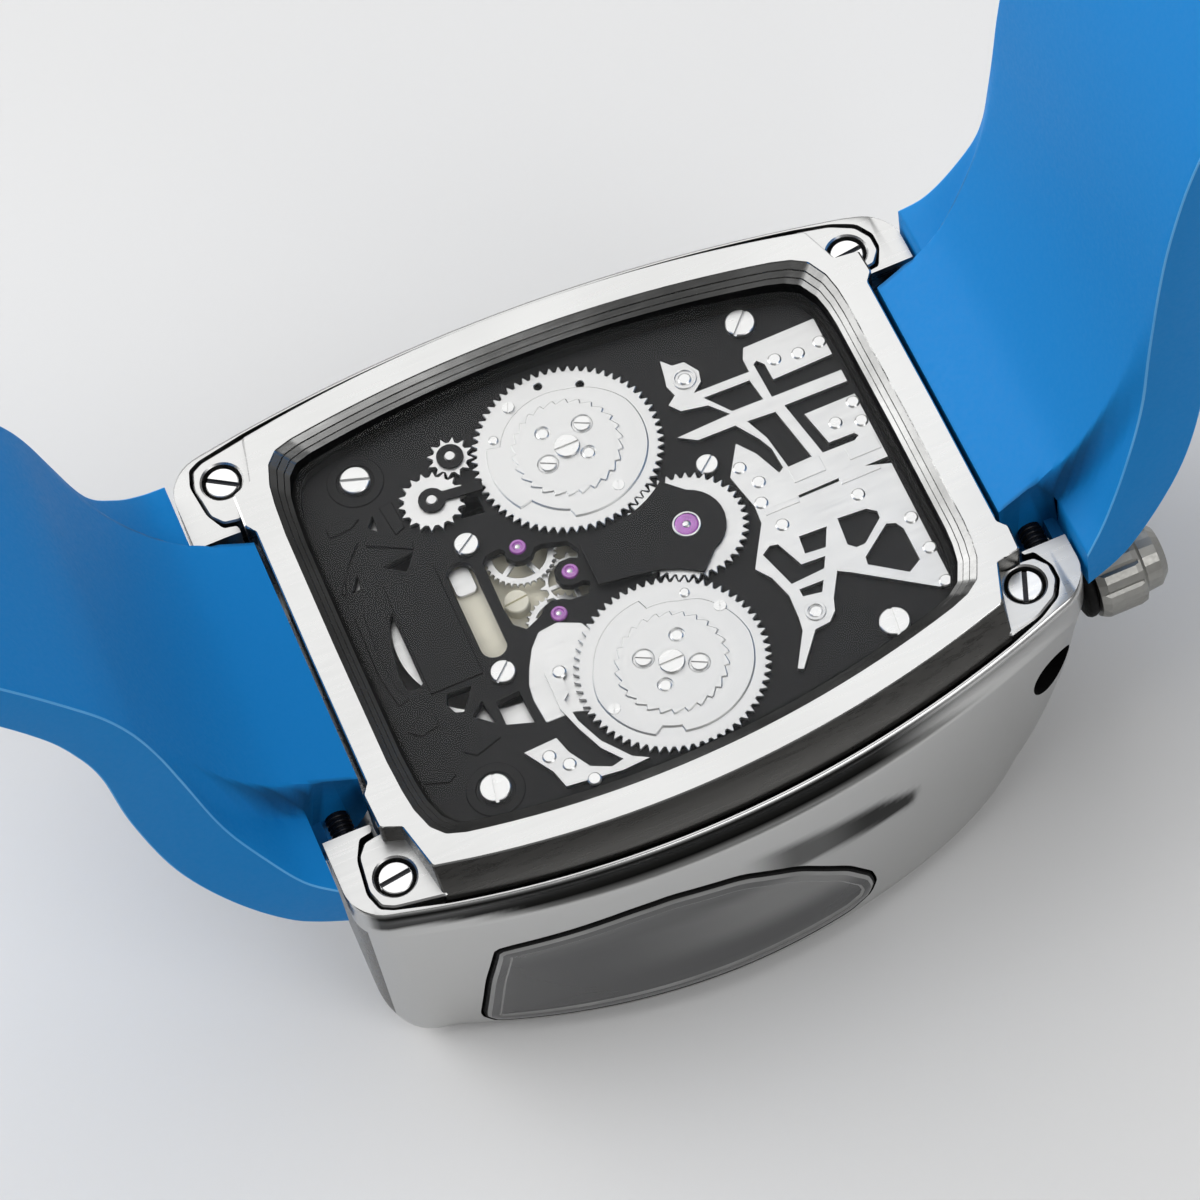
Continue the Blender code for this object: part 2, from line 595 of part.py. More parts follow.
def build_small_works():
    place("skeleton_plate", plate("skeleton_plate", SKELETON, 17.65, 17.95, SKELETON_HOLES), NICKEL)
    place("yoke_plate", plate("yoke_plate", YOKE, 17.65, 17.95), NICKEL)
    reach = math.dist(SETTING_A, SETTING_B)
    module = 2 * reach / sum(SETTING_TEETH)
    toward = math.atan2(SETTING_B[1] - SETTING_A[1], SETTING_B[0] - SETTING_A[0])
    pairs = (("setting_wheel", SETTING_A, 0, toward), ("minute_wheel", SETTING_B, 1, toward + math.pi + math.pi / 12))
    for name, at, n, phase in pairs:
        rim_points = gear(SETTING_TEETH[n], module, phase, 0.7, 1.0, 0.3)
        body = place(name, plate(name, rim_points, *WHEEL_Z), NICKEL)
        body.location = Vector((*at, 0)) / 1000
        hub = rod(name + "_hub", (0, 0), 0.34, 16.5, 18.25, None, CUTTERS, 12)
        hub.location = body.location
        boolean(body, hub, "UNION")
    yoke = [(SETTING_A[0] - 1.0, SETTING_A[1])]
    yoke = arc(*SETTING_A, 0.95, 20, 335, 14) + [(-6.9, 8.35), (-6.75, 9.05)]
    place("setting_cock", plate("setting_cock", yoke, 18.05, 18.22, [circle(*SETTING_A, 0.42, 12)]), BLACK)
    ring = circle(*SETTING_B, 0.95, 18)
    place("minute_cock", plate("minute_cock", ring, 18.05, 18.22, [circle(*SETTING_B, 0.42, 12)]), BLACK)
    place("train_plate", plate("train_plate", rounded(-12.2, -3.2, 4.6, 1.0, 3), 14.2, 14.8), CREAM)
    levels = ((15.55, 15.8), (15.2, 15.45), (14.88, 15.1))
    sizes = ((2.5, 30), (2.1, 15), (2.4, 28))
    names = ("third_wheel", "escape_wheel", "fourth_wheel")
    for name, (x, y, _), z, (r, teeth) in zip(names, JEWELS, levels, sizes):
        rim_points = gear(teeth, 2 * r / teeth, 0.1, 0.5, 0.9, 0.28)
        inner_r = r * 0.78
        spokes = []
        for k in range(3):
            start = math.degrees(2 * math.pi * k / 3) + 12
            spokes.append(band((0, 0), 0.62, inner_r, start, start + 96, 5))
        body = place(name, plate(name, rim_points, *z, spokes), NICKEL)
        body.location = Vector((x, y, 0)) / 1000
        arbor = rod(name + "_arbor", (0, 0), 0.28, z[0] - 0.02, 16.85, None, CUTTERS, 10)
        arbor.location = body.location
        boolean(body, arbor, "UNION")
    outline = circle(0, 0, BALANCE_R, 40)
    spokes = [band((0, 0), 0.9, BALANCE_R - 1.1, 10, 170, 10), band((0, 0), 0.9, BALANCE_R - 1.1, 190, 350, 10)]
    balance = place("balance_wheel", plate("balance_wheel", outline, 12.6, 13.3, spokes), NICKEL)
    balance.location = Vector((*BALANCE_AT, 0)) / 1000
    staff = rod("balance_staff", (0, 0), 0.35, 9.0, 14.1, None, CUTTERS, 12)
    staff.location = balance.location
    boolean(balance, staff, "UNION")


def build_base():
    """Main plate, spacer ring, dial, hands and front crystal."""
    x0, x1 = CAVITY_X
    inside = rounded(x0 + 0.1, x1 - 0.1, CAVITY_HALF_Y - 0.1, 1.9)
    place("main_plate", plate("main_plate", inside, 6.2, 8.2), NICKEL)
    hollow = rounded(x0 + 2.2, x1 - 2.2, CAVITY_HALF_Y - 2.2, 1.5)
    place("movement_ring", plate("movement_ring", inside, 8.25, 15.95, [hollow]), BLACK)
    place("dial", plate("dial", inside, 4.7, 5.2, [circle(HANDS_X, 0, 1.0, 16)]), DIAL)
    crystal = plate("front_crystal", rounded(FRONT_X[0] + FIT, FRONT_X[1] - FIT, FRONT_HALF_Y - FIT, 2.9), 0, 3.3)
    place("front_crystal", crystal, GLASS)
    hour = [(0.95, 0.55), (6.6, 0.28), (6.9, 0), (6.6, -0.28), (0.95, -0.55)] + arc(0, 0, 1.1, 330, 30, 13)
    minute = [(0.7, 0.4), (10.3, 0.22), (10.6, 0), (10.3, -0.22), (0.7, -0.4)] + arc(0, 0, 0.8, 330, 30, 13)
    for name, outline, z, r, tip in (("hour_hand", hour, (4.15, 4.4), 0.85, 5.9), ("minute_hand", minute, (3.6, 3.85), 0.45, 6.1)):
        bore = [circle(0, 0, 0.55, 14)] if name == "hour_hand" else []
        body = place(name, plate(name, outline, *z, bore), NICKEL)
        body.location = Vector((HANDS_X, 0, 0)) / 1000
        pipe = place(name + "_pipe", plate("pipe", circle(0, 0, r, 14), z[0] + 0.05, tip, bore), None, CUTTERS)
        pipe.location = body.location
        boolean(body, pipe, "UNION")
    for n, (x, y) in enumerate(REAR_SCREWS):
        slotted_screw(f"rear_screw_{n + 1}", (x, y), 1.15, (17.75, 18.45), 0.55, 14.9, STEEL, 0.5 + 0.8 * n)
    for name, side in (("near", -1), ("far", 1)):
        place(f"side_window_{name}", pane("side_window", side, 0.0, 1.2, 0.25), SMOKED)


def along_x(obj):
    obj.matrix_world = Matrix.Translation(Vector((0, CROWN_Y, CROWN_Z)) / 1000) @ Matrix.Rotation(math.pi / 2, 4, "Y")


def build_crown():
    tube = plate("crown_tube", circle(0, 0, 1.15, 16), 19.8, 26.6, [circle(0, 0, 0.85, 16)])
    along_x(place("crown_tube", tube, STEEL))
    seal = plate("crown_gasket", circle(0, 0, GASKET_R, 24), 27.12, 28.0, [circle(0, 0, 0.8, 16)])
    along_x(place("crown_gasket", seal, SEAL))
    profile = [
        (0, 33.4), (1.7, 33.3), (2.3, 32.7), (2.4, 31.6), (2.9, 31.3), (CROWN_R, 30.9), (CROWN_R, 28.6),
        (2.7, 28.06), (STEM_R, 28.06), (STEM_R, 20.0), (0, 20.0),
    ]
    crown = turned("crown", profile, 24, STEEL)
    along_x(crown)
    for n in range(12):
        flute = rod(f"flute_{n}", (3.15, 0), 0.32, 28.3, 31.15, None, CUTTERS, 6)
        flute.matrix_world = crown.matrix_world @ Matrix.Rotation(math.pi * n / 6, 4, "Z")
        boolean(crown, flute)


STRAP_12 = (
    (-26.8, 20.3, -26.8, 15.8, 16.9), (-28.6, 21.7, -30.1, 17.3, 16.1), (-30.3, 24.25, -33.3, 20.6, 14.9),
    (-32.1, 28.1, -35.9, 25.2, 13.6), (-33.5, 34.4, -37.4, 31.6, 12.7), (-34.6, 39.4, -38.0, 37.7, 12.3),
    (-36.0, 43.0, -39.0, 41.2, 12.0), (-37.9, 46.3, -40.5, 44.5, 11.9), (-41.5, 51.7, -43.8, 49.6, 11.8),
    (-46.5, 58.4, -48.9, 56.6, 11.7), (-51.2, 66.2, -53.9, 64.9, 11.6), (-54.2, 74.5, -57.0, 73.9, 11.4),
    (-55.0, 80.0, -58.0, 80.0, 11.2), (-55.0, 88.0, -58.0, 88.0, 11.0),
)
STRAP_6 = (
    (27.3, 20.1, 27.3, 16.3, 15.3), (29.0, 22.0, 30.9, 17.4, 14.4), (30.9, 25.7, 34.8, 22.4, 13.4),
    (32.5, 30.2, 36.9, 28.1, 12.5), (33.4, 35.9, 37.6, 35.0, 12.1), (34.0, 42.4, 37.7, 41.9, 12.0),
    (35.1, 48.9, 38.5, 48.1, 11.9), (36.9, 55.3, 40.0, 54.0, 11.8), (40.5, 63.5, 43.4, 62.0, 11.7),
    (44.8, 72.0, 47.7, 70.6, 11.5), (48.6, 82.0, 51.5, 81.0, 11.3), (51.2, 93.0, 54.2, 92.4, 11.1),
    (52.6, 105.0, 55.6, 104.8, 10.8), (52.8, 116.0, 55.7, 116.2, 10.4), (52.5, 123.5, 55.2, 123.9, 8.8),
    (52.3, 126.5, 54.9, 126.9, 6.0),
)
TONGUE_12 = [
    (-22.75, 20.5), (-22.75, 16.0), (-23.8, 14.4), (-26.2, 14.2), (-27.1, 16.3), (-30.0, 17.8), (-33.1, 21.0),
    (-35.5, 25.6), (-34.9, 33.0), (-33.6, 34.0), (-30.8, 27.5), (-27.7, 23.7),
]
TONGUE_6 = [
    (23.35, 20.5), (23.35, 16.0), (24.3, 14.4), (26.7, 14.2), (27.6, 16.9), (30.6, 18.2), (34.3, 22.9),
    (36.4, 28.6), (35.6, 34.6), (33.3, 35.2), (31.3, 29.5), (28.6, 24.0),
]


def build_strap(name, rows, tongue, bar, holes):
    """A moulded half: tapering wings with a raised tongue that goes in between the lugs."""
    loops = []
    for xi, zi, xo, zo, w in rows:
        inner, outer = Vector((xi, 0, zi)), Vector((xo, 0, zo))
        soft = (inner - outer) * 0.2
        loops.append([
            (*(inner + Vector((0, -w + 0.6, 0))),), (*(inner - soft + Vector((0, -w, 0))),),
            (*(outer + soft + Vector((0, -w, 0))),), (*(outer + Vector((0, -w + 0.8, 0))),),
            (*(outer + Vector((0, w - 0.8, 0))),), (*(outer + soft + Vector((0, w, 0))),),
            (*(inner - soft + Vector((0, w, 0))),), (*(inner + Vector((0, w - 0.6, 0))),),
        ])
    strap = place(name, loft(name, loops), RUBBER)
    block = place(name + "_tongue", plate("tongue", [(x, z) for x, z in tongue], -TONGUE_HALF, TONGUE_HALF), None, CUTTERS)
    upright = Matrix.Rotation(math.pi / 2, 4, "X")
    block.matrix_world = upright
    boolean(strap, block, "UNION")
    hole = rod(name + "_bar_hole", bar, BAR_R + 0.06, -20, 20, None, CUTTERS, 16)
    hole.matrix_world = upright
    boolean(strap, hole)
    for n, (row, r) in enumerate(holes):
        xi, zi, xo, zo, _ = row
        through = Vector((xo - xi, 0, zo - zi)).normalized()
        cutter = rod(f"{name}_hole_{n}", (0, 0), r, -6, 6, None, CUTTERS, 12)
        turn = Vector((0, 0, 1)).rotation_difference(through).to_matrix().to_4x4()
        cutter.matrix_world = Matrix.Translation(Vector(((xi + xo) / 2, 0, (zi + zo) / 2)) / 1000) @ turn
        boolean(strap, cutter)
    return strap


def between(a, b, t):
    return tuple(p + (q - p) * t for p, q in zip(a, b))


KEEPER_LOOP = rounded(-3.35, 5.2, 13.3, 1.2, 3)


def on_strap(share):
    """Placement of a keeper across the straight part of the 12 o'clock half."""
    at = between(STRAP_12[10], STRAP_12[11], share)
    inner, outer = Vector((at[0], 0, at[1])), Vector((at[2], 0, at[3]))
    out = (outer - inner).normalized()
    rows = Matrix((out, Vector((0, 1, 0)), out.cross(Vector((0, 1, 0))))).transposed().to_4x4()
    return Matrix.Translation((inner + outer) / 2000) @ rows


def build_straps():
    sized = []
    for i in range(9, 14):
        sized += [(between(STRAP_6[i], STRAP_6[i + 1], t), 1.3) for t in (0.1, 0.6)]
    build_strap("strap_6", STRAP_6, TONGUE_6, BAR_6, sized[:8])
    strap = build_strap("strap_12", STRAP_12, TONGUE_12, BAR_12, [])
    fixed = plate("fixed_keeper", KEEPER_LOOP, -2.2, 2.2, [rounded(-1.2, 3.7, 11.2, 0.6, 3)])
    fixed = place("fixed_keeper", fixed, None, CUTTERS)
    fixed.matrix_world = on_strap(0.98)
    boolean(strap, fixed, "UNION")
    eye = box("prong_slot", (-60, -50), (-1.4, 1.4), (84.2, 92))
    boolean(strap, eye)
    pin_hole = rod("buckle_pin_hole", (-56.5, 86.2), 0.86, -20, 20, None, CUTTERS, 16)
    pin_hole.matrix_world = Matrix.Rotation(math.pi / 2, 4, "X")
    boolean(strap, pin_hole)
    for name, (x, z) in (("spring_bar_12", BAR_12), ("spring_bar_6", BAR_6)):
        profile = [(0, 13.4), (0.45, 13.4), (0.45, 12.1), (BAR_R, 12.1), (BAR_R, -12.1), (0.45, -12.1), (0.45, -13.4), (0, -13.4)]
        bar = turned(name, profile, 14, STEEL)
        bar.matrix_world = Matrix.Translation(Vector((x, 0, z)) / 1000) @ Matrix.Rotation(math.pi / 2, 4, "X")


def build_buckle():
    """A tang buckle on the 12 o'clock half, with a fixed and a sliding keeper."""
    frame_outline = rounded(82.6, 101.0, BUCKLE_HALF, 3.0)
    frame_hole = rounded(80.0, 97.6, BUCKLE_HALF - 2.4, 1.5)
    body = plate("buckle_frame", frame_outline, -58.1, -54.9)
    frame = place("buckle_frame", body, STEEL)
    opening = place("buckle_opening", plate("buckle_opening", frame_hole, -70, -40), None, CUTTERS)
    upright = Matrix.Rotation(-math.pi / 2, 4, "Y") @ Matrix.Scale(-1, 4, (0, 0, 1))
    for piece in (frame, opening):
        piece.data.transform(upright)
        bm = bmesh.new()
        bm.from_mesh(piece.data)
        bmesh.ops.recalc_face_normals(bm, faces=bm.faces)
        bm.to_mesh(piece.data)
        bm.free()
    boolean(frame, opening)
    pin = turned("buckle_pin", [(0, 13.3), (0.8, 13.3), (0.8, -13.3), (0, -13.3)], 14, STEEL)
    pin.matrix_world = Matrix.Translation(Vector((-56.5, 0, 86.2)) / 1000) @ Matrix.Rotation(math.pi / 2, 4, "X")
    bore = rod("buckle_pin_bore", (-56.5, 86.2), 0.86, -13.5, 13.5, None, CUTTERS, 14)
    bore.matrix_world = Matrix.Rotation(math.pi / 2, 4, "X")
    boolean(frame, bore)
    prong = circle(-56.5, 86.2, 1.6, 16)
    tang = place("buckle_prong", plate("prong", prong, -1.1, 1.1, [circle(-56.5, 86.2, 0.88, 14)]), STEEL)
    shaft = [(-55.9, 87.4), (-54.5, 88.4), (-53.9, 99.6), (-54.3, 100.9), (-54.75, 99.8), (-54.75, 98.5), (-55.4, 89.5), (-57.2, 87.4)]
    arm = place("prong_arm", plate("prong_arm", shaft, -1.0, 1.0), None, CUTTERS)
    tang.matrix_world = arm.matrix_world = Matrix.Rotation(math.pi / 2, 4, "X")
    boolean(tang, arm, "UNION")
    free = place("free_keeper", plate("free_keeper", KEEPER_LOOP, -2.2, 2.2, [rounded(-1.85, 3.7, 12.1, 0.6, 3)]), RUBBER)
    free.matrix_world = on_strap(0.2)


build_case()
build_cover()
build_wheels()
build_bridge()
build_small_works()
build_base()
build_crown()
build_straps()
build_buckle()
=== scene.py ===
"""Looks of a skeleton wristwatch that lies on its front crystal, case back up and strap open."""

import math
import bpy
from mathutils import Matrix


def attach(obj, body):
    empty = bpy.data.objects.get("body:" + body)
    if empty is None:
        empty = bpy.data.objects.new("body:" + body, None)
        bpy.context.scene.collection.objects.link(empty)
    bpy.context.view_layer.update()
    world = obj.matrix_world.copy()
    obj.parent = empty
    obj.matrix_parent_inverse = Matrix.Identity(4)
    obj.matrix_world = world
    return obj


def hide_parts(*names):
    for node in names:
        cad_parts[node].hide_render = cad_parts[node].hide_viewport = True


bl_info = {
    "name": "Skeleton wristwatch",
    "version": (1, 0, 0),
    "blender": (4, 5, 0),
    "location": "View3D > Sidebar > Watch",
    "description": "Dresses the packed frame of a tonneau skeleton wristwatch",
    "category": "Object",
}

import bmesh
import bpy
from mathutils import Matrix, Vector

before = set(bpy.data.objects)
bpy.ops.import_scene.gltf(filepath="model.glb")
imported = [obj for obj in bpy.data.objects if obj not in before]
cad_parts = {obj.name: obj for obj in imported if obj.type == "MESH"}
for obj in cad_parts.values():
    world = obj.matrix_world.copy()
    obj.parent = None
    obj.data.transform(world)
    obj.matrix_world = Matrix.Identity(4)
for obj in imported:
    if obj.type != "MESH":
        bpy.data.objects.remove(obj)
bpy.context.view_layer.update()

# Places and sizes below are in millimetres, in the frame of the solids.
CASE_ENDS = (-26.5, 27.0)
LUG_GAP_HALF = 12.3
COVER_FLOOR = 16.1
WHEEL_HEIGHT = 18.0
WHEELS = {"upper": (-0.44, 8.94), "lower": (-0.44, -9.58)}
IDLER = (4.56, -0.32)
# From either ratchet wheel to the intermediate wheel, along and across the watch.
IDLER_AWAY = (5.0, 9.26)
RATCHET_TEETH, IDLER_TEETH, WHEEL_MODULE = 64, 40, 0.2024
REAR_SCREWS = ((-23.0, 16.6), (-23.0, -16.6), (23.0, 14.63), (23.0, -14.63))
BRIDGE_SCREWS = (
    (-14.6, 13.05, 1.05), (-14.6, -13.05, 1.05), (14.2, 13.05, 1.05), (14.2, -13.05, 1.05),
    (-9.5, 5.0, 0.85), (-10.9, -5.2, 0.85), (7.7, 3.6, 0.76),
)
JEWELS = ((-6.4, 3.4), (-3.9, 0.1), (-5.8, -2.6))
BALANCE = (-10.3, -0.35)
SETTING, MINUTE_WORK = (-10.4, 9.1), (-8.0, 11.8)
BARS = {"spring_bar_12": (-24.9, 16.7), "spring_bar_6": (25.4, 16.7)}
CROWN = (-13.3, 13.2)
BUCKLE_PIN = (-56.5, 86.2)
UPRIGHT = Matrix.Rotation(math.pi / 2, 4, "X")
STEM = Matrix.Translation((0, *CROWN)) @ Matrix.Rotation(math.pi / 2, 4, "Y")
PORT = Matrix.Translation((22.9, -15.6, 11.0)) @ Matrix.Rotation(0.3, 4, "Z") @ UPRIGHT
# Bottom and top of the layers of the works.
LAYERS = {
    "base": (15.4, 15.8), "strip": (16.2, 16.55), "disc": (15.7, 16.7), "groove": (16.5, 17),
    "balance_pad": (16.3, 16.7), "pad": (16.4, 16.8), "stud": (16.5, 16.85), "bridge": (16.9, 17.6),
    "raised": (17.5, 17.75), "boss": (17.5, 17.7), "bright": (17.55, 17.66), "idler": (17.7, 18.0),
    "rim": (17.7, 17.95), "collar": (17.86, 18.08), "saw_disc": (18.0, 18.18),
    "layer": (17.9, 18.01), "bearing": (17.9, 18.06), "chaton": (18.2, 18.31),
}


def srgb(text):
    """Linear colour of an sRGB hex value."""
    parts = [int(text[i:i + 2], 16) / 255 for i in (1, 3, 5)]
    return tuple(v / 12.92 if v <= 0.04045 else ((v + 0.055) / 1.055) ** 2.4 for v in parts)


def tone(name, text, use):
    return bpy.props.FloatVectorProperty(
        name=name, description=use, subtype="COLOR", size=3, min=0, max=1, default=srgb(text)
    )


def length(name, mm, use):
    return bpy.props.FloatProperty(
        name=name, description=use, unit="LENGTH", precision=5, min=0, default=mm / 1000
    )


def strength(name, value, use):
    return bpy.props.FloatProperty(name=name, description=use, min=0, default=value)


class WatchCaseLook(bpy.types.PropertyGroup):
    steel: tone("Steel", "#C3C3C2", "Ground stainless steel of the case, cover, crown and buckle")
    # Dark steel is painted shade and dark reflection, on the cover's wall and chamfer steps and on the end at
    # 12 o'clock.
    shadow_steel: tone("Dark steel", "#666563", "Dark polished wall of the cover and groove under the rim")
    smoke: tone("Side pane", "#3F3F40", "Smoked mineral glass of the side panes")
    edge: length("Edge rounding", 0.12, "Rounding of the plate and tab edges")


class WatchWorksLook(bpy.types.PropertyGroup):
    plate: tone("Bridge", "#161617", "Black plated bridge and cocks")
    nickel: tone("Nickel", "#DADAD9", "Rhodium white wheels, plates and screws")
    brass: tone("Train plate", "#F6F1DD", "Pale brass plate under the train")
    ruby: tone("Jewel", "#B45CBE", "Synthetic ruby of the jewels")
    rivet: length("Rivet radius", 0.48, "Radius of the rivet heads on the skeleton plate")
    edge: length("Wheel edge", 0.035, "Rounding of the wheel and plate edges")


class WatchStrapLook(bpy.types.PropertyGroup):
    rubber: tone("Rubber", "#0A7EC6", "Moulded silicone rubber of the strap and keepers")
    edge: length("Edge rounding", 0.11, "Rounding of the strap edges")
    tongue: length("Tongue half width", 9.9, "Half width of the raised tongue between the lugs")


class WatchStageLook(bpy.types.PropertyGroup):
    floor: tone("Floor", "#DADADA", "Plain pale floor")
    lamp: strength("Lamp", 11.6, "Power of the large soft lamp, in watts")
    fill: strength("Fill", 0.3, "Strength of the room light")


def node(tree, kind, inputs=None, **settings):
    """Adds a node with its settings; an input is a value or the socket that feeds it."""
    made = tree.nodes.new(kind)
    for key, value in settings.items():
        setattr(made, key, value)
    for key, value in (inputs or {}).items():
        if isinstance(value, bpy.types.NodeSocket):
            tree.links.new(value, made.inputs[key])
        else:
            made.inputs[key].default_value = value
    return made


def finish(name, colour, metallic, roughness, **sockets):
    """A Principled material with its plain values."""
    made = bpy.data.materials.new(name)
    made.use_nodes = True
    shader = made.node_tree.nodes["Principled BSDF"]
    shader.inputs["Base Color"].default_value = (*colour, 1)
    shader.inputs["Metallic"].default_value = metallic
    shader.inputs["Roughness"].default_value = roughness
    for key, value in sockets.items():
        shader.inputs[key.replace("_", " ")].default_value = value
    return made


def worn(made, pitch, rough, depth, second=None, patch=None, centre=None, mask=None):
    """Grain of a finish: pitch in mm per axis, roughness range, relief in mm, second colour in patches.

    With a centre the grain runs in circles about it, at the first pitch; a mask names the mesh attribute
    that says where the second colour lies."""
    tree = made.node_tree
    shader = tree.nodes["Principled BSDF"]
    at = node(tree, "ShaderNodeTexCoord").outputs["Object"]
    if centre:
        arbor = (-centre[0] / 1000, -centre[1] / 1000, -WHEEL_HEIGHT / 1000)
        middle = node(tree, "ShaderNodeMapping", {"Vector": at, "Location": arbor})
        away = node(tree, "ShaderNodeVectorMath", {0: middle.outputs[0]}, operation="LENGTH")
        rings = {0: away.outputs["Value"], 1: 1000 / pitch[0]}
        ring = node(tree, "ShaderNodeMath", rings, operation="MULTIPLY")
        lines = {"W": ring.outputs[0], "Scale": 1.0, "Detail": 2.0}
        grain = node(tree, "ShaderNodeTexNoise", lines, noise_dimensions="1D")
    else:
        drawn = node(tree, "ShaderNodeMapping", {"Vector": at, "Scale": tuple(1000 / p for p in pitch)})
        lines = {"Vector": drawn.outputs[0], "Scale": 1.0, "Detail": 2.0}
        grain = node(tree, "ShaderNodeTexNoise", lines)
    spread = node(tree, "ShaderNodeMapRange", {0: grain.outputs[0], 1: 0.3, 2: 0.7, 3: rough[0], 4: rough[1]})
    relief = {"Height": grain.outputs[0], "Strength": 1.0, "Distance": depth / 1000}
    bump = node(tree, "ShaderNodeBump", relief)
    tree.links.new(spread.outputs[0], shader.inputs["Roughness"])
    tree.links.new(bump.outputs[0], shader.inputs["Normal"])
    if second:
        if mask:
            share = node(tree, "ShaderNodeAttribute", attribute_name=mask).outputs["Fac"]
        else:
            clouds = node(tree, "ShaderNodeTexNoise", {"Vector": at, "Scale": 1000 / patch, "Detail": 3.0})
            level = {0: clouds.outputs[0], 1: 0.35, 2: 0.7, 3: 0.0, 4: 1.0}
            share = node(tree, "ShaderNodeMapRange", level).outputs[0]
        first = shader.inputs["Base Color"].default_value[:]
        mixed = node(tree, "ShaderNodeMix", {0: share, 6: first, 7: (*second, 1)}, data_type="RGBA")
        tree.links.new(mixed.outputs[2], shader.inputs["Base Color"])
    return made


def dimmed(colour, by):
    return tuple(v * by for v in colour)


def finishes():
    """All materials of the watch, each named for what it is and how its surface was made, or for the light or
    shade painted into it.
    """
    if "stainless_steel_satin_ground" in bpy.data.materials:
        return bpy.data.materials
    scene = bpy.context.scene
    case, works, strap = scene.watch_case, scene.watch_works, scene.watch_strap
    steel, nickel = case.steel[:], works.nickel[:]
    # Ground along the case: fine lines that soften every highlight. Drawn at 0.2 mm to show at all.
    worn(
        finish("stainless_steel_satin_ground", steel, 1.0, 0.3),
        (16, 0.2, 0.2), (0.26, 0.33), 0.0006, dimmed(steel, 0.92), 14.0,
    )
    # The same ground flank with painted shade: a near black band in the groove under the rim that fades out
    # towards the crown end, and a dark crease below it.
    worn(
        finish("stainless_steel_satin_with_painted_shade", steel, 1.0, 0.3),
        (16, 0.25, 0.25), (0.28, 0.32), 0.0003, srgb("#1A1A19"), mask="hollow",
    )
    # Buffed edges: near mirror, with faint hairlines from wear.
    worn(finish("stainless_steel_polished", steel, 1.0, 0.1), (9, 0.2, 0.2), (0.08, 0.16), 0.0008)
    # The stepped chamfer: buffed, its steel painted darker as a painted reflection of the dark works that its
    # narrow steps mostly mirror.
    worn(
        finish("stainless_steel_chamfer_painted_reflection", srgb("#8B8B8A"), 1.0, 0.2),
        (9, 0.2, 0.2), (0.16, 0.26), 0.0008, srgb("#6E6E6D"), 6.0,
    )
    # Bead blasted crown: soft grey without any sharp glint.
    worn(
        finish("stainless_steel_bead_blasted", srgb("#A3A29E"), 1.0, 0.42),
        (0.2, 0.2, 0.2), (0.36, 0.48), 0.0012, srgb("#8F8E8A"), 3.0,
    )
    # The same steel painted deep grey, half gloss: painted shade and dark reflection on the cover's wall and
    # chamfer steps and on the end at 12 o'clock.
    worn(
        finish("stainless_steel_painted_shade_and_reflection", case.shadow_steel[:], 1.0, 0.25),
        (12, 0.25, 0.25), (0.24, 0.34), 0.001,
    )
    # Rhodium over brass, grained flat: white and slightly silky.
    worn(
        finish("rhodium_plated_brass_grained", nickel, 1.0, 0.4),
        (2.5, 0.2, 0.2), (0.36, 0.5), 0.0012, dimmed(nickel, 0.95), 3.0,
    )
    for name, at in WHEELS.items():
        # Snailed rhodium: faint circular grain about the arbor, nearly matt white.
        worn(
            finish("rhodium_plated_wheel_snailed_" + name, nickel, 1.0, 0.45),
            (0.25,), (0.42, 0.52), 0.0006, centre=at,
        )
    # Screw heads: lapped flat, bright, with a soft edge to the reflection.
    worn(
        finish("steel_screw_lapped", srgb("#DEDEDD"), 1.0, 0.3),
        (1.5, 0.15, 0.15), (0.26, 0.36), 0.0008,
    )
    # Galvanic black over brass: satin, slightly cloudy.
    black = works.plate[:]
    worn(
        finish("black_plated_brass_satin", black, 0.0, 0.45, Specular_IOR_Level=0.22),
        (0.25, 0.25, 0.25), (0.4, 0.55), 0.0012, dimmed(black, 1.35), 5.0,
    )
    # Turned brass, pale gilt: warm cream with soft tool lines.
    worn(
        finish("pale_gilt_brass_turned", works.brass[:], 0.0, 0.45),
        (0.3, 1.5, 0.3), (0.4, 0.55), 0.002, dimmed(works.brass[:], 0.85), 2.0,
    )
    # Ruby polished to a dome: saturated, with one sharp glint.
    worn(
        finish("synthetic_ruby_polished", works.ruby[:], 0.0, 0.08, Coat_Weight=0.8, IOR=1.76),
        (0.4, 0.4, 0.4), (0.05, 0.12), 0.0, dimmed(works.ruby[:], 0.7), 0.6,
    )
    # Sapphire: clear, with a thin reflection only.
    worn(
        finish("sapphire_crystal_polished", srgb("#0C0E10"), 0.0, 0.03, Alpha=0.06, IOR=1.77),
        (8, 8, 8), (0.02, 0.05), 0.0,
    )
    # Smoked mineral glass: dark and glossy, with painted light: paler towards its lower end and in a band
    # across its middle, where the mask says.
    worn(
        finish("smoked_mineral_glass_and_painted_light", case.smoke[:], 0.0, 0.08, Coat_Weight=0.4, IOR=1.52),
        (6, 6, 6), (0.06, 0.12), 0.0, srgb("#868685"), mask="shade",
    )
    # Its ground bevel: painted paler, a painted highlight for the light it gathers from the room.
    worn(
        finish("mineral_glass_bevel_painted_highlight", srgb("#8D8D8C"), 0.0, 0.08, Coat_Weight=0.6, IOR=1.52),
        (6, 6, 6), (0.05, 0.1), 0.0, srgb("#6F6F6E"), 5.0,
    )
    rubber = strap.rubber[:]
    # Silicone rubber from a spark eroded mould: matt, fine pebble, very slightly cloudy.
    worn(
        finish("silicone_rubber_moulded", rubber, 0.0, 0.6, Specular_IOR_Level=0.22),
        (0.35, 0.35, 0.35), (0.55, 0.68), 0.004, dimmed(rubber, 0.95), 14.0,
    )
    # The same rubber on the strap halves, with painted shade: darker beside the tongue, on its side walls and
    # on the heels, where little light falls.
    worn(
        finish("silicone_rubber_painted_fold_shade", rubber, 0.0, 0.6, Specular_IOR_Level=0.22),
        (0.35, 0.35, 0.35), (0.55, 0.68), 0.004, dimmed(rubber, 0.3), mask="fold",
    )
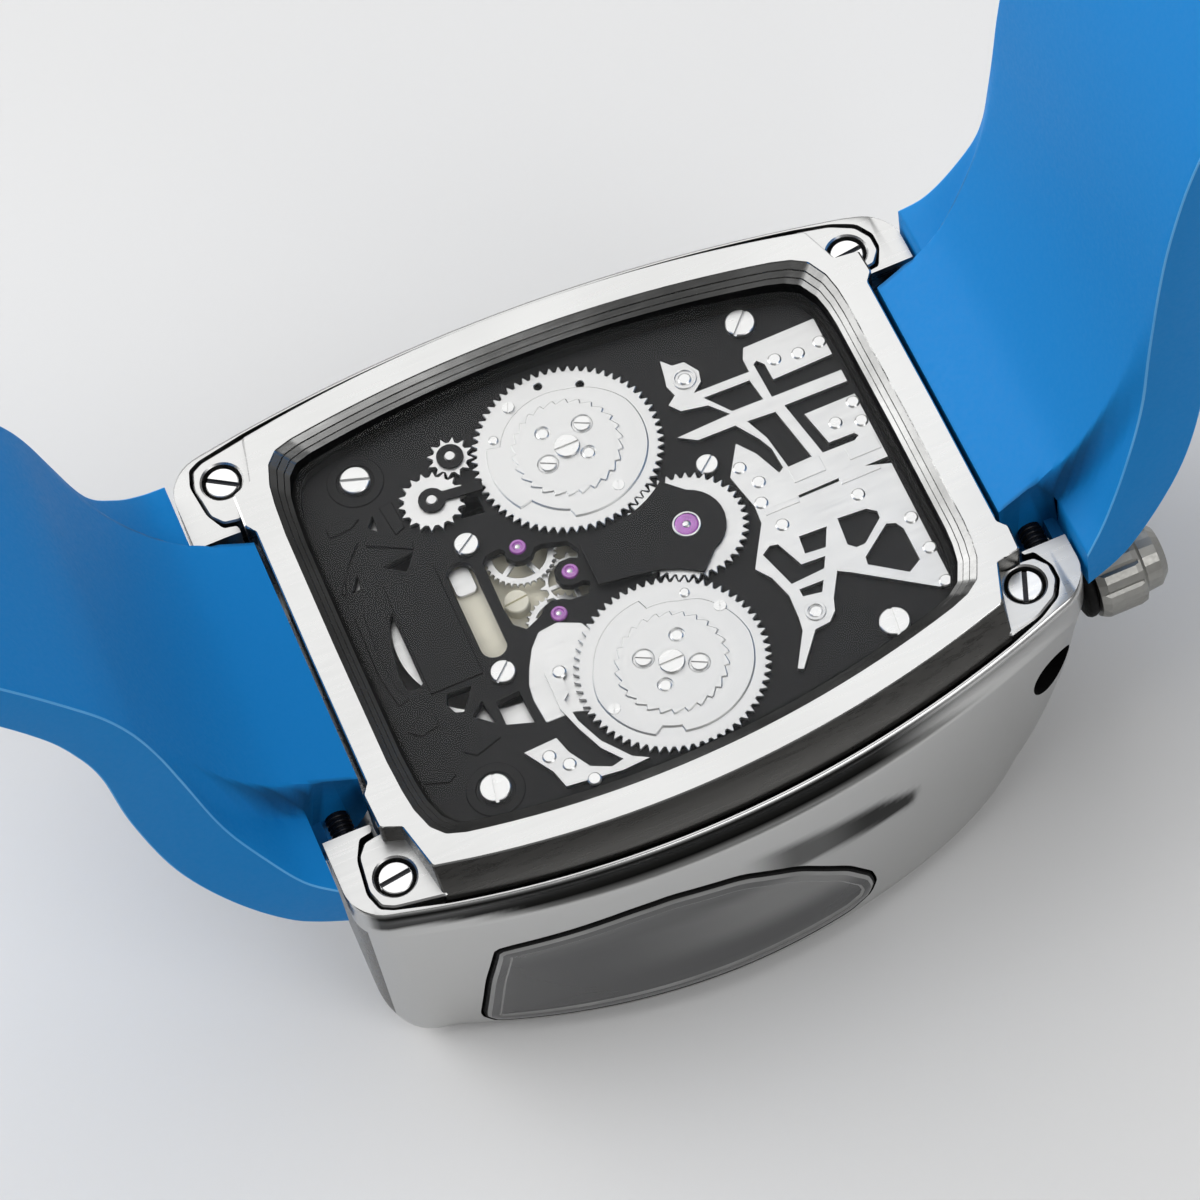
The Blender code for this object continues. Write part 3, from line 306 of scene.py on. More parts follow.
    # A painted highlight: a thin pale line of rubber along the rounded strap edges, where light catches them.
    worn(
        finish("silicone_rubber_painted_edge_highlight", srgb("#5FAEE6"), 0.0, 0.4, Specular_IOR_Level=0.4),
        (0.35, 0.35, 0.35), (0.36, 0.46), 0.002, srgb("#4BA2E0"), 6.0,
    )
    # Nitrile seals: dull black that takes almost no light. The same black is painted shade in gaps: the case
    # pockets, port and recess, the pane outline, the cover's screw wells and the ledge under the crystal.
    worn(
        finish("nitrile_seal_and_painted_gap_shade", srgb("#070707"), 0.0, 0.6, Specular_IOR_Level=0.15),
        (0.3, 0.3, 0.3), (0.5, 0.7), 0.003, srgb("#0D0D0D"), 2.0,
    )
    # Blackened spring bars: black with a hard glint. The same black on the floors of the rear screw slots is
    # painted shade.
    worn(
        finish("spring_steel_blackened_and_slot_shade", srgb("#1D1D20"), 0.6, 0.3),
        (0.3, 0.3, 0.3), (0.24, 0.4), 0.001, srgb("#2A2A2E"), 1.0,
    )
    # Dial lacquer over brass, polished: blue black and glossy.
    worn(
        finish("dial_lacquer_polished", srgb("#101216"), 0.0, 0.2, Coat_Weight=0.5),
        (0.3, 0.3, 0.3), (0.15, 0.3), 0.002, srgb("#1C1F26"), 6.0,
    )
    return bpy.data.materials


def link_mesh(name, mesh, *paints):
    """Links a mesh given in millimetres as an object whose place is in its mesh."""
    mesh.transform(Matrix.Scale(0.001, 4))
    mesh.update()
    obj = bpy.data.objects.new(name, mesh)
    for paint in paints:
        mesh.materials.append(finishes()[paint])
    bpy.context.scene.collection.objects.link(obj)
    return obj


def fit(obj, body, slot, *nodes):
    """Puts a finished piece on its body, in place of the solids it stands for."""
    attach(obj, body)
    if nodes:
        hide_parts(*nodes)
    return obj


def plain(holder, angle=32):
    """Plain mesh of an object with its modifiers, smooth but for its real edges; the object goes."""
    graph = bpy.context.evaluated_depsgraph_get()
    mesh = bpy.data.meshes.new_from_object(holder.evaluated_get(graph))
    bpy.data.objects.remove(holder, do_unlink=True)
    return soft_faces(mesh, angle)


def soft_faces(mesh, angle=32):
    mesh.shade_smooth()
    mesh.set_sharp_from_angle(angle=math.radians(angle))
    return mesh


def held(name, data):
    obj = bpy.data.objects.new(name, data)
    bpy.context.scene.collection.objects.link(obj)
    return obj


def from_bmesh(bm, name):
    bmesh.ops.remove_doubles(bm, verts=bm.verts, dist=1e-5)
    bmesh.ops.recalc_face_normals(bm, faces=bm.faces)
    mesh = bpy.data.meshes.new(name)
    bm.to_mesh(mesh)
    bm.free()
    return mesh


def joined(name, *meshes):
    """One mesh of several, with their material numbers kept."""
    bm = bmesh.new()
    for mesh in meshes:
        bm.from_mesh(mesh)
        bpy.data.meshes.remove(mesh)
    made = bpy.data.meshes.new(name)
    bm.to_mesh(made)
    bm.free()
    return made


def numbered(mesh, index):
    for face in mesh.polygons:
        face.material_index = index
    return mesh


def plate(name, outline, z, holes=(), edge=0.0, angle=24):
    """A flat plate with rounded edges, from a filled 2D curve: outline and holes are lists of points."""
    def wound(points, left):
        area = sum(a[0] * b[1] - b[0] * a[1] for a, b in zip(points, points[1:] + points[:1]))
        return points if (area > 0) == left else points[::-1]

    curve = bpy.data.curves.new(name, "CURVE")
    curve.dimensions = "2D"
    curve.fill_mode = "BOTH"
    curve.extrude = (z[1] - z[0]) / 2 - edge
    curve.bevel_depth = edge
    curve.bevel_resolution = 3 if angle > 40 else 0
    curve.offset = -edge
    for n, points in enumerate((outline, *holes)):
        points = wound(list(points), n == 0)
        spline = curve.splines.new("POLY")
        spline.points.add(len(points) - 1)
        for point, (x, y) in zip(spline.points, points):
            point.co = (x, y, 0, 1)
        spline.use_cyclic_u = True
    mesh = plain(held(name, curve), angle)
    bpy.data.curves.remove(curve)
    bm = bmesh.new()
    bm.from_mesh(mesh)
    bpy.data.meshes.remove(mesh)
    bmesh.ops.translate(bm, verts=bm.verts, vec=(0, 0, (z[0] + z[1]) / 2))
    return soft_faces(from_bmesh(bm, name), angle)


def loft(name, loops, ring=False, angle=32, bands=None):
    """A skin through loops of equal length; bands gives the material number of each strip."""
    bm = bmesh.new()
    rows = [[bm.verts.new(p) for p in loop] for loop in loops]
    pairs = list(zip(rows, rows[1:]))
    if ring:
        pairs.append((rows[-1], rows[0]))
    for k, (low, high) in enumerate(pairs):
        for i in range(len(low)):
            j = (i + 1) % len(low)
            face = bm.faces.new((low[i], low[j], high[j], high[i]))
            face.material_index = bands[k] if bands else 0
    if not ring:
        bm.faces.new(rows[0][::-1])
        bm.faces.new(rows[-1])
    return soft_faces(from_bmesh(bm, name), angle)


def turned(name, profile, steps=48, angle=32):
    """A lathe piece about Z from (radius, height) points."""
    turns = [2 * math.pi * i / steps for i in range(steps)]
    loops = []
    for r, h in profile:
        r = max(r, 1e-4)
        loops.append([(r * math.cos(t), r * math.sin(t), h) for t in turns])
    return loft(name, loops, angle=angle)


def carved(mesh, cutters, angle=32, operation="DIFFERENCE"):
    """A mesh cut by others in turn, or joined with them."""
    holder = held("carving", mesh)
    tools = [held("cutter", cutter) for cutter in cutters]
    for tool in tools:
        step = holder.modifiers.new("cut", "BOOLEAN")
        step.operation, step.solver, step.object = operation, "EXACT", tool
    made = plain(holder, angle)
    for tool in tools:
        bpy.data.objects.remove(tool, do_unlink=True)
    return made


def eased(mesh, width, paints):
    """A mesh with its weighted edges rounded by a bevel; of two paints the second goes on the bevel."""
    for paint in paints:
        mesh.materials.append(finishes()[paint])
    holder = held("easing", mesh)
    step = holder.modifiers.new("ease", "BEVEL")
    step.width, step.segments, step.limit_method = width, 3, "WEIGHT"
    step.material = len(paints) - 1
    step.use_clamp_overlap = False
    return plain(holder, 45)


def moved(mesh, matrix):
    mesh.transform(matrix)
    if matrix.determinant() < 0:
        mesh.flip_normals()
    return mesh


def circle(x, y, r, steps=32):
    turn = 2 * math.pi / steps
    return [(x + r * math.cos(i * turn), y + r * math.sin(i * turn)) for i in range(steps)]


def arc(x, y, r, start, end, steps):
    angles = [math.radians(start + (end - start) * i / (steps - 1)) for i in range(steps)]
    return [(x + r * math.cos(a), y + r * math.sin(a)) for a in angles]


def box_plan(x0, x1, half):
    return [(x0, -half), (x1, -half), (x1, half), (x0, half)]


def rounded(x0, x1, half, r, steps=8):
    """A rectangle from x0 to x1, half wide to each side, with rounded corners."""
    y = half - r
    corners = ((x1 - r, y), (x0 + r, y), (x0 + r, -y), (x1 - r, -y))
    points = []
    for k, corner in enumerate(corners):
        points += arc(*corner, r, 90 * k, 90 * k + 90, steps)
    return points


def eased_loop(points, r=0.35, times=2):
    """A closed outline with its corners cut round, about r from each corner, a few times over."""
    spread = []
    count = len(points)
    for i, here in enumerate(points):
        before, after = points[i - 1], points[(i + 1) % count]
        for other in (before, None, after):
            if other is None:
                spread.append(here)
                continue
            gap = math.dist(here, other)
            share = min(r, gap * 0.4) / gap
            spread.append(tuple(a + (b - a) * share for a, b in zip(here, other)))
    for _ in range(times):
        cut = []
        for a, b in zip(spread, spread[1:] + spread[:1]):
            cut.append(tuple(p * 0.75 + q * 0.25 for p, q in zip(a, b)))
            cut.append(tuple(p * 0.25 + q * 0.75 for p, q in zip(a, b)))
        spread = cut
    return spread


def flowing(rows, steps):
    """Rows of numbers joined by a smooth curve through every row."""
    made = []
    for i in range(len(rows) - 1):
        p0, p1, p2, p3 = rows[max(i - 1, 0)], rows[i], rows[i + 1], rows[min(i + 2, len(rows) - 1)]
        for k in range(steps):
            t = k / steps
            made.append(tuple(
                0.5 * (
                    2 * b + (c - a) * t + (2 * a - 5 * b + 4 * c - d) * t * t
                    + (3 * b - a - 3 * c + d) * t ** 3
                )
                for a, b, c, d in zip(p0, p1, p2, p3)
            ))
    made.append(tuple(rows[-1]))
    return made


def stations(start, end, count):
    return [start + (end - start) * i / (count - 1) for i in range(count)]


def half_width(x, base=21.8, taper=0.0376, barrel=0.00581):
    """Half width of the barrel-shaped case at a place along it."""
    return base - taper * x - barrel * x * x


def case_half(x):
    """Half width of the case, with the corners of its four lugs rounded."""
    wide = half_width(x)
    for end, r in zip(CASE_ENDS, (2.2, 2.0)):
        into = r - abs(x - end)
        if into > 0:
            wide -= r - math.sqrt(max(0.0, r * r - into * into))
    return wide


def rim(x):
    """Height of the rim that the rear cover is set into."""
    return 18.6 - 1.2 * max(0.0, 1 - (x / 24) ** 2)


def front_edge(x):
    """Height of the lower edge of the flank, which sweeps up to the crown end."""
    if x < -22.9:
        return 0.6 + 3.8 * (1 - math.sqrt(max(0.0, 1 - ((-22.9 - x) / 3.6) ** 2)))
    return 0.6 + 11.3 * max(0.0, (x - 11) / 16) ** 2.8


# Groove under the rim: mm outwards where the flank bulges most, and mm below the rim.
GROOVE = (
    (0.26, 2.9), (0.1, 2.7), (-0.16, 2.45), (-0.34, 2.1),
    (-0.4, 1.7), (-0.36, 1.3), (-0.22, 0.95), (0.0, 0.62),
)


def flank(x):
    """(half width, height) points up the flank, from the front edge to the rim."""
    low, top, wide = front_edge(x), rim(x), case_half(x)
    bulge = max(0.0, 1 - (x / 25.5) ** 2) ** 0.7
    flare = 0.3 + 2.3 * max(0.0, 1 - ((x + 1) / 21) ** 2) - 1.2 * max(0.0, (x - 17) / 8) ** 2
    foot, shoulder = low + 0.9, top - 3.0
    rows = []
    for i in range(4):
        a = math.pi / 2 * i / 4
        rows.append((wide + flare - 1.1 + 1.1 * math.sin(a), low + 0.9 * (1 - math.cos(a))))
    for i in range(36):
        s = i / 35
        out = wide + flare * (1 - s) + 0.3 * bulge * s + 1.4 * bulge * s * (1 - s)
        rows.append((out, foot + s * (shoulder - foot)))
    for out, down in GROOVE:
        rows.append((wide + out * bulge, top - down))
    rows += [(wide, top - 0.36), (wide - 0.05, top - 0.24), (wide - 0.22, top - 0.04), (wide - 0.3, top)]
    return rows


def flank_at(x, z):
    """Half width of the case at a place along it and a height."""
    rows = flank(x)
    for (w0, z0), (w1, z1) in zip(rows, rows[1:]):
        if z <= z1:
            return w0 + (w1 - w0) * (z - z0) / max(z1 - z0, 1e-6)
    return rows[-1][0]


def evenly(points, count):
    """The same closed outline with its points at equal distances."""
    ring = list(points) + [points[0]]
    runs = [math.dist(a, b) for a, b in zip(ring, ring[1:])]
    total, made, i, walked = sum(runs), [], 0, 0.0
    for k in range(count):
        target = total * k / count
        while walked + runs[i] < target:
            walked += runs[i]
            i += 1
        t = (target - walked) / max(runs[i], 1e-9)
        made.append(tuple(a + (b - a) * t for a, b in zip(ring[i], ring[i + 1])))
    return made


def within(x, y, outline):
    """True if a point lies inside a closed outline."""
    inside = False
    for (x0, y0), (x1, y1) in zip(outline, outline[1:] + outline[:1]):
        if (y0 > y) != (y1 > y) and x < x0 + (x1 - x0) * (y - y0) / (y1 - y0):
            inside = not inside
    return inside


# Rim of the side pane, along and up the flank.
PANE = [
    (-20.6, 2.6), (-19.6, 7.9), (-18.75, 10.8), (-18.5, 11.65), (-17.5, 11.8), (-13.2, 12.0), (-9.5, 12.25),
    (-6.5, 12.25), (-1.7, 11.5), (2.3, 9.7), (5.6, 7.0), (7.1, 4.9), (7.35, 3.6), (6.8, 2.5), (5.2, 1.9),
    (1.4, 1.8), (-3.4, 1.7), (-11.3, 1.7), (-16.3, 1.7), (-19.8, 1.7),
]
PANE_POINTS = 160
PANE_MIDDLE = (-7.0, 6.0)


def pane_loop(side, inset, out, share=1.0):
    """The rim of the side pane on the flank, moved in by inset mm and shrunk to a share of its size."""
    loop = evenly(eased_loop(PANE, 2.4, 4), PANE_POINTS)
    mid_x, mid_z = PANE_MIDDLE
    points = []
    for i, (x, z) in enumerate(loop):
        (x0, z0), (x1, z1) = loop[i - 2], loop[(i + 2) % PANE_POINTS]
        run = math.dist((x0, z0), (x1, z1))
        x, z = x + inset * (z1 - z0) / run, z - inset * (x1 - x0) / run
        x, z = mid_x + (x - mid_x) * share, mid_z + (z - mid_z) * share
        points.append((x, side * (flank_at(x, z) + out), z))
    return points


# Outlines of the screw tabs at either end of the cover, on one side.
TAB_12 = [(-23.0, 13.2), (-24.0, 13.4), (-24.7, 14.3), (-25.0, 16.9), (-24.6, 18.2), (-23.8, 18.65)]
TAB_6 = [(22.8, 17.2), (24.4, 16.3), (25.1, 15.1), (25.1, 13.9), (24.4, 13.0), (23.65, 12.9)]
# Half width of the foot of the cover's wall at the middle of the case.
COVER_HALF = 21.07


def seat_outline(gap):
    """Plan of the recess for the rear cover and its four screw tabs."""
    half = [(x - gap, 2 * gap - y) for x, y in TAB_12[:2]]
    half += [(x - gap, -y - gap) for x, y in TAB_12[2:]]
    half += [(x, -half_width(x, COVER_HALF) - gap - 0.16) for x in stations(-20.5, 20.5, 40)]
    half += [(x + gap, -y - gap) for x, y in TAB_6[:4]]
    half += [(x + gap, 2 * gap - y) for x, y in TAB_6[4:]]
    return half + [(x, -y) for x, y in reversed(half)]


def cover_plan():
    """Loops of the cover, matched point for point: outer edge, foot of its wall, inner edge."""
    xs = stations(-18.0, 18.0, 25)
    ring = [(x, half_width(x, 19.79, 0.0405, 0.00618)) for x in xs]
    outer = [(-22.4, 0), (-22.35, -10.6), (-22.9, -11.2), (-22.8, -13.9), (-21.4, -14.4), (-20.6, -18.0)]
    outer += [(x, -w) for x, w in ring]
    outer += [(20.7, -16.3), (21.7, -13.3), (23.4, -13.1), (23.5, -11.2), (22.95, -10.6), (23.0, 0)]
    foot = outer[:5] + [(-20.6, -half_width(-20.6, COVER_HALF))]
    foot += [(x, -half_width(x, COVER_HALF)) for x in xs]
    foot += [(20.7, -half_width(20.7, COVER_HALF))] + outer[-5:]
    inner = [(-20.6, 0), (-20.55, -9.5), (-20.4, -12.0), (-20.2, -13.6), (-19.7, -15.2), (-18.9, -16.1)]
    inner += [(x * 0.98, 2.0 - w) for x, w in ring]
    inner += [(18.9, -14.6), (19.9, -13.9), (20.6, -12.4), (20.85, -11.0), (20.95, -9.5), (21.0, 0)]
    return [half + [(x, -y) for x, y in reversed(half[1:-1])] for half in (outer, foot, inner)]


def shrunk(points, by):
    """A closed outline about the origin, made smaller by a length on every side."""
    reach_x, reach_y = (max(abs(p[k]) for p in points) for k in (0, 1))
    return [(x * (1 - by / reach_x), y * (1 - by / reach_y)) for x, y in points]


def gear(teeth, module, phase=0.0, tip=0.85, root=1.15, width=0.36):
    """Outline of a wheel with pointed teeth."""
    pitch_r, step = teeth * module / 2, 2 * math.pi / teeth
    points = []
    for i in range(teeth):
        for r, share in ((-root, -width), (tip, -0.05), (tip, 0.05), (-root, width)):
            a = phase + (i + share) * step
            points.append(((pitch_r + r * module) * math.cos(a), (pitch_r + r * module) * math.sin(a)))
    return points


def repeat_tree():
    """Geometry Nodes: a pattern object on each point, turned and widened by the points' own values."""
    if "repeat_on_points" in bpy.data.node_groups:
        return bpy.data.node_groups["repeat_on_points"]
    tree = bpy.data.node_groups.new("repeat_on_points", "GeometryNodeTree")
    face = tree.interface
    face.new_socket("Geometry", in_out="INPUT", socket_type="NodeSocketGeometry")
    face.new_socket("Pattern", in_out="INPUT", socket_type="NodeSocketObject")
    face.new_socket("Finish", in_out="INPUT", socket_type="NodeSocketMaterial")
    face.new_socket("Geometry", in_out="OUTPUT", socket_type="NodeSocketGeometry")
    given = node(tree, "NodeGroupInput")
    shape = node(tree, "GeometryNodeObjectInfo", {"Object": given.outputs["Pattern"]})
    turn = node(tree, "GeometryNodeInputNamedAttribute", {"Name": "turn"}, data_type="FLOAT_VECTOR")
    size = node(tree, "GeometryNodeInputNamedAttribute", {"Name": "size"}, data_type="FLOAT")
    scale = node(tree, "ShaderNodeCombineXYZ", {"X": size.outputs[0], "Y": size.outputs[0], "Z": 1.0})
    spread = node(tree, "GeometryNodeInstanceOnPoints", {
        "Points": given.outputs["Geometry"], "Instance": shape.outputs["Geometry"],
        "Rotation": turn.outputs[0], "Scale": scale.outputs[0],
    })
    real = node(tree, "GeometryNodeRealizeInstances", {"Geometry": spread.outputs[0]})
    coated = {"Geometry": real.outputs[0], "Material": given.outputs["Finish"]}
    painted = node(tree, "GeometryNodeSetMaterial", coated)
    node(tree, "NodeGroupOutput", {"Geometry": painted.outputs[0]})
    return tree


def repeated(name, pattern, places, paint, angle=24):
    """The pattern mesh repeated at (point, turn, size) places, as one plain mesh in millimetres."""
    mesh = bpy.data.meshes.new(name)
    mesh.from_pydata([p for p, _, _ in places], [], [])
    mesh.attributes.new("turn", "FLOAT_VECTOR", "POINT")
    mesh.attributes.new("size", "FLOAT", "POINT")
    for i, (_, angles, factor) in enumerate(places):
        mesh.attributes["turn"].data[i].vector = angles
        mesh.attributes["size"].data[i].value = factor
    shape = held(name + "_pattern", pattern)
    holder = held(name, mesh)
    step = holder.modifiers.new("repeat", "NODES")
    tree = repeat_tree()
    keys = {s.name: s.identifier for s in tree.interface.items_tree if s.in_out == "INPUT"}
    step.node_group = tree
    step[keys["Pattern"]] = shape
    step[keys["Finish"]] = finishes()[paint]
    made = plain(holder, angle)
    bpy.data.objects.remove(shape, do_unlink=True)
    made.materials.clear()
    made.materials.append(finishes()[paint])
    return numbered(made, 0)


def seated(at, seat):
    """Place of a repeated piece on its seat."""
    return (*at, seat[0]), (0, 0, 0), seat[1]


# Screw heads: radius, height, width and depth of the slot.
WHEEL_HEAD, BRIDGE_HEAD, REAR_HEAD = (1.0, 0.22, 0.2, 0.14), (1.0, 0.38, 0.22, 0.2), (1.15, 0.7, 0.36, 0.35)


def screw_head(r, tall, slot, deep):
    """A slotted head that stands on z 0, with its edge broken."""
    head = turned("head", [(0, 0), (r, 0), (r, tall - 0.06), (r - 0.06, tall), (0, tall)], 32, 20)
    cut = plate("slot", box_plan(-3, 3, slot / 2), (tall - deep, tall + 1))
    return carved(head, [cut], 20)


def rivet_head(r, tall):
    steps = [(r * math.cos(a), tall * math.sin(a)) for a in (math.pi / 2 * i / 4 for i in range(5))]
    return turned("rivet", [(0, -0.1), (r, -0.1)] + steps, 20, 60)


def coat(names, paint):
    """Gives solids that stay as they are their finish."""
    for name in names:
        obj = bpy.data.objects[name]
        obj.data.materials.clear()
        obj.data.materials.append(finishes()[paint])


FLOOR_REACH = 2.0
CAMERA_AT = (-0.034981, -0.156092, 0.291788)
CAMERA_RIGHT, CAMERA_UP = (0.919161, -0.379702, -0.104731), (0.380557, 0.787525, 0.484748)
CAMERA_LENS, CAMERA_SENSOR = 141.0, 36.0
# Soft lamps that look at the watch: place and width in metres, share of the lamp power.
LAMPS = (
    ("lamp_key", (-0.2, 0.6, 0.95), 1.9, 1.0),
    ("lamp_side", (-0.85, 0.6, 0.6), 1.1, 0.72),
    ("lamp_front", (0.5, -0.9, 0.9), 0.9, 0.44),
)


def paper_floor(colour):
    sides = box_plan(-FLOOR_REACH, FLOOR_REACH, FLOOR_REACH)
    floor = bpy.data.meshes.new("floor")
    floor.from_pydata([(x, y, 0) for x, y in sides], [], [(0, 1, 2, 3)])
    # Seamless paper: matt, with a trace of fibre.
    paper = finish("seamless_paper_matt", colour, 0.0, 0.8)
    floor.materials.append(worn(paper, (0.6, 0.6, 0.6), (0.75, 0.9), 0.002))
    held("floor", floor)


def photo_camera():
    """The camera at the photograph's place and angle."""
    camera = bpy.data.cameras.new("camera")
    camera.lens, camera.sensor_width = CAMERA_LENS, CAMERA_SENSOR
    camera.clip_start = 0.01
    right, up = Vector(CAMERA_RIGHT), Vector(CAMERA_UP)
    turn = Matrix((right, up, right.cross(up))).transposed().to_4x4()
    seen = held("camera", camera)
    seen.matrix_world = Matrix.Translation(CAMERA_AT) @ turn
    bpy.context.scene.camera = seen


def soft_lamps(power):
    for name, at, size, share in LAMPS:
        lamp = bpy.data.lights.new(name, "AREA")
        lamp.shape, lamp.size, lamp.energy = "DISK", size, power * share
        shown = held(name, lamp)
        aim = Vector(at).to_track_quat("Z", "Y").to_matrix().to_4x4()
        shown.matrix_world = Matrix.Translation(at) @ aim


def room_light(fill):
    """A plain room, bright overhead and dim towards the floor, so that metal has something to mirror."""
    world = bpy.data.worlds.new("studio")
    bpy.context.scene.world = world
    world.use_nodes = True
    tree = world.node_tree
    tree.nodes.clear()
    ray = node(tree, "ShaderNodeTexCoord")
    high = node(tree, "ShaderNodeSeparateXYZ", {0: ray.outputs["Generated"]})
    level = node(tree, "ShaderNodeMapRange", {0: high.outputs["Z"], 1: -0.05, 2: 0.75, 3: 0.12, 4: 1.15})
    room = node(tree, "ShaderNodeBackground", {"Color": level.outputs[0], "Strength": fill})
    node(tree, "ShaderNodeOutputWorld", {"Surface": room.outputs[0]})


class WATCH_OT_stage(bpy.types.Operator):
    """Floor, soft light and the camera at the photograph's angle"""
    bl_idname = "watch.stage"
    bl_label = "Stage"

    def execute(self, context):
        look = context.scene.watch_stage
        paper_floor(look.floor[:])
        photo_camera()
        soft_lamps(look.lamp)
        room_light(look.fill)
        context.scene.view_settings.view_transform = "Standard"
        return {"FINISHED"}


# Rows up each strap half: x and z of the inner and of the outer face, half width, rise of the tongue.
STRAP_12 = (
    (-26.8, 20.3, -26.8, 15.8, 16.9, 2.8), (-28.6, 21.7, -30.1, 17.3, 16.1, 2.33),
    (-30.3, 24.25, -33.3, 20.6, 14.9, 1.75), (-32.1, 28.1, -35.9, 25.2, 13.6, 1.05),
    (-33.5, 34.4, -37.4, 31.6, 12.7, 0.3), (-34.6, 39.4, -38.0, 37.7, 12.3, 0),
    (-36.0, 43.0, -39.0, 41.2, 12.0, 0), (-37.9, 46.3, -40.5, 44.5, 11.9, 0),
    (-41.5, 51.7, -43.8, 49.6, 11.8, 0), (-46.5, 58.4, -48.9, 56.6, 11.7, 0),
    (-51.2, 66.2, -53.9, 64.9, 11.6, 0), (-54.2, 74.5, -57.0, 73.9, 11.4, 0),
    (-55.0, 80.0, -58.0, 80.0, 11.2, 0), (-55.0, 88.0, -58.0, 88.0, 11.0, 0),
)
STRAP_6 = (
    (27.3, 20.1, 27.3, 16.3, 15.3, 3.0), (29.0, 22.0, 30.9, 17.4, 14.4, 2.0),
    (30.9, 25.7, 34.8, 22.4, 13.4, 1.45), (32.5, 30.2, 36.9, 28.1, 12.5, 0.9),
    (33.4, 35.9, 37.6, 35.0, 12.1, 0.2), (34.0, 42.4, 37.7, 41.9, 12.0, 0),
    (35.1, 48.9, 38.5, 48.1, 11.9, 0), (36.9, 55.3, 40.0, 54.0, 11.8, 0),
    (40.5, 63.5, 43.4, 62.0, 11.7, 0), (44.8, 72.0, 47.7, 70.6, 11.5, 0),
    (48.6, 82.0, 51.5, 81.0, 11.3, 0), (51.2, 93.0, 54.2, 92.4, 11.1, 0),
    (52.6, 105.0, 55.6, 104.8, 10.8, 0), (52.8, 116.0, 55.7, 116.2, 10.4, 0),
    (52.5, 123.5, 55.2, 123.9, 8.8, 0), (52.3, 126.5, 54.9, 126.9, 6.0, 0),
)
# Rows of the tongue between the lugs: x, height of its crest, height of its underside.
TONGUE_12 = (
    (-22.75, 20.5, 16.0), (-23.2, 20.79, 15.2), (-23.8, 21.18, 14.4),
    (-25.0, 21.95, 14.25), (-26.2, 22.72, 14.2),
)
TONGUE_6 = (
    (23.35, 20.5, 16.0), (23.8, 20.8, 15.2), (24.3, 21.13, 14.4),
    (25.5, 21.93, 14.25), (26.7, 22.73, 14.2),
)
# Spacing of points across the tongue and across each wing, as shares of their width.
TONGUE_SHARES = [i / 9 for i in range(9)] + [0.97, 1.0]
WING_SHARES = (0.03, 0.07, 0.12, 0.18, 0.25, 0.34, 0.46, 0.6, 0.75, 1.0)
ROW_STEPS = 7
CORE_SHARE = 0.84
SIZE_HOLE_R, PIN_HOLE_R, STRAP_BAR_HOLE_R, LUG_BAR_HOLE_R = 1.3, 0.86, 0.81, 0.55
HEELS = {"strap_12": (-27.3, -26.0), "strap_6": (26.5, 27.8)}
HEEL_Y, HEEL_HALF, HEEL_HEIGHTS = 10.8, 1.3, (15.8, 17.0)
PRONG_SLOT, PRONG_SLOT_HEIGHTS = (-60, -50, 1.4, 0.3), (84.2, 92)
KEEPER_OUTLINE, KEEPER_HEIGHTS, KEEPER_EDGE = (-3.35, 5.2, 13.3, 1.9), (-2.2, 2.2), 0.45
# Keepers: name, x from and to and half width of the hole, place up the strap, body, node it stands for.
KEEPERS = (
    ("fixed_keeper_rubber", (-1.2, 3.7, 11.2), 0.98, "strap_12_half", ()),
    ("free_keeper_rubber", (-1.85, 3.7, 12.1), 0.2, "keeper", ("free_keeper",)),
)


def smoothed(low, high, value):
    t = min(1.0, max(0.0, (value - low) / (high - low)))
    return t * t * (3 - 2 * t)


def strap_columns():
    """Columns across a strap half: tongue or wing, share of its width, and side."""
    columns = [("in", s) for s in TONGUE_SHARES] + [("out", s) for s in WING_SHARES]
    return [(kind, s, -1) for kind, s in reversed(columns[1:])] + [(kind, s, 1) for kind, s in columns]


def strap_crest(tongue, dense):
    """Line along the top of the tongue and on up the strap, smoothed."""
    crest = [Vector((x, 0, high)) for x, high, _ in tongue]
    for xi, zi, xo, zo, _, lift in dense:
        inner, outer = Vector((xi, 0, zi)), Vector((xo, 0, zo))
        crest.append(inner + (inner - outer).normalized() * lift)
    for _ in range(40):
        softer = [(a + 2 * b + c) / 4 for a, b, c in zip(crest[1:], crest[2:], crest[3:])]
        crest = crest[:2] + softer + crest[-1:]
    return crest


def thick_sheet(name, top, low, row_count, column_count):
    """A closed sheet from points of its two faces by (row, column), with its long edges to be rounded."""
    bm = bmesh.new()
    upper = {key: bm.verts.new(p) for key, p in top.items()}
    under = {key: bm.verts.new(p) for key, p in low.items()}
    edges = {}
    for i in range(row_count - 1):
        for j in range(column_count - 1):
            cell = ((i, j), (i + 1, j), (i + 1, j + 1), (i, j + 1))
            if not all(key in upper for key in cell):
                continue
            bm.faces.new([upper[key] for key in cell])
            bm.faces.new([under[key] for key in reversed(cell)])
            for a, b in zip(cell, cell[1:] + cell[:1]):
                if (b, a) in edges:
                    del edges[b, a]
                else:
                    edges[a, b] = True
    weight = bm.edges.layers.float.new("bevel_weight_edge")
    for a, b in edges:
        bm.faces.new((upper[b], upper[a], under[a], under[b]))
        if a[1] == b[1] and a[1] in (0, column_count - 1):
            for sheet in (upper, under):
                bm.edges.get((sheet[a], sheet[b]))[weight] = 1.0
    return from_bmesh(bm, name)


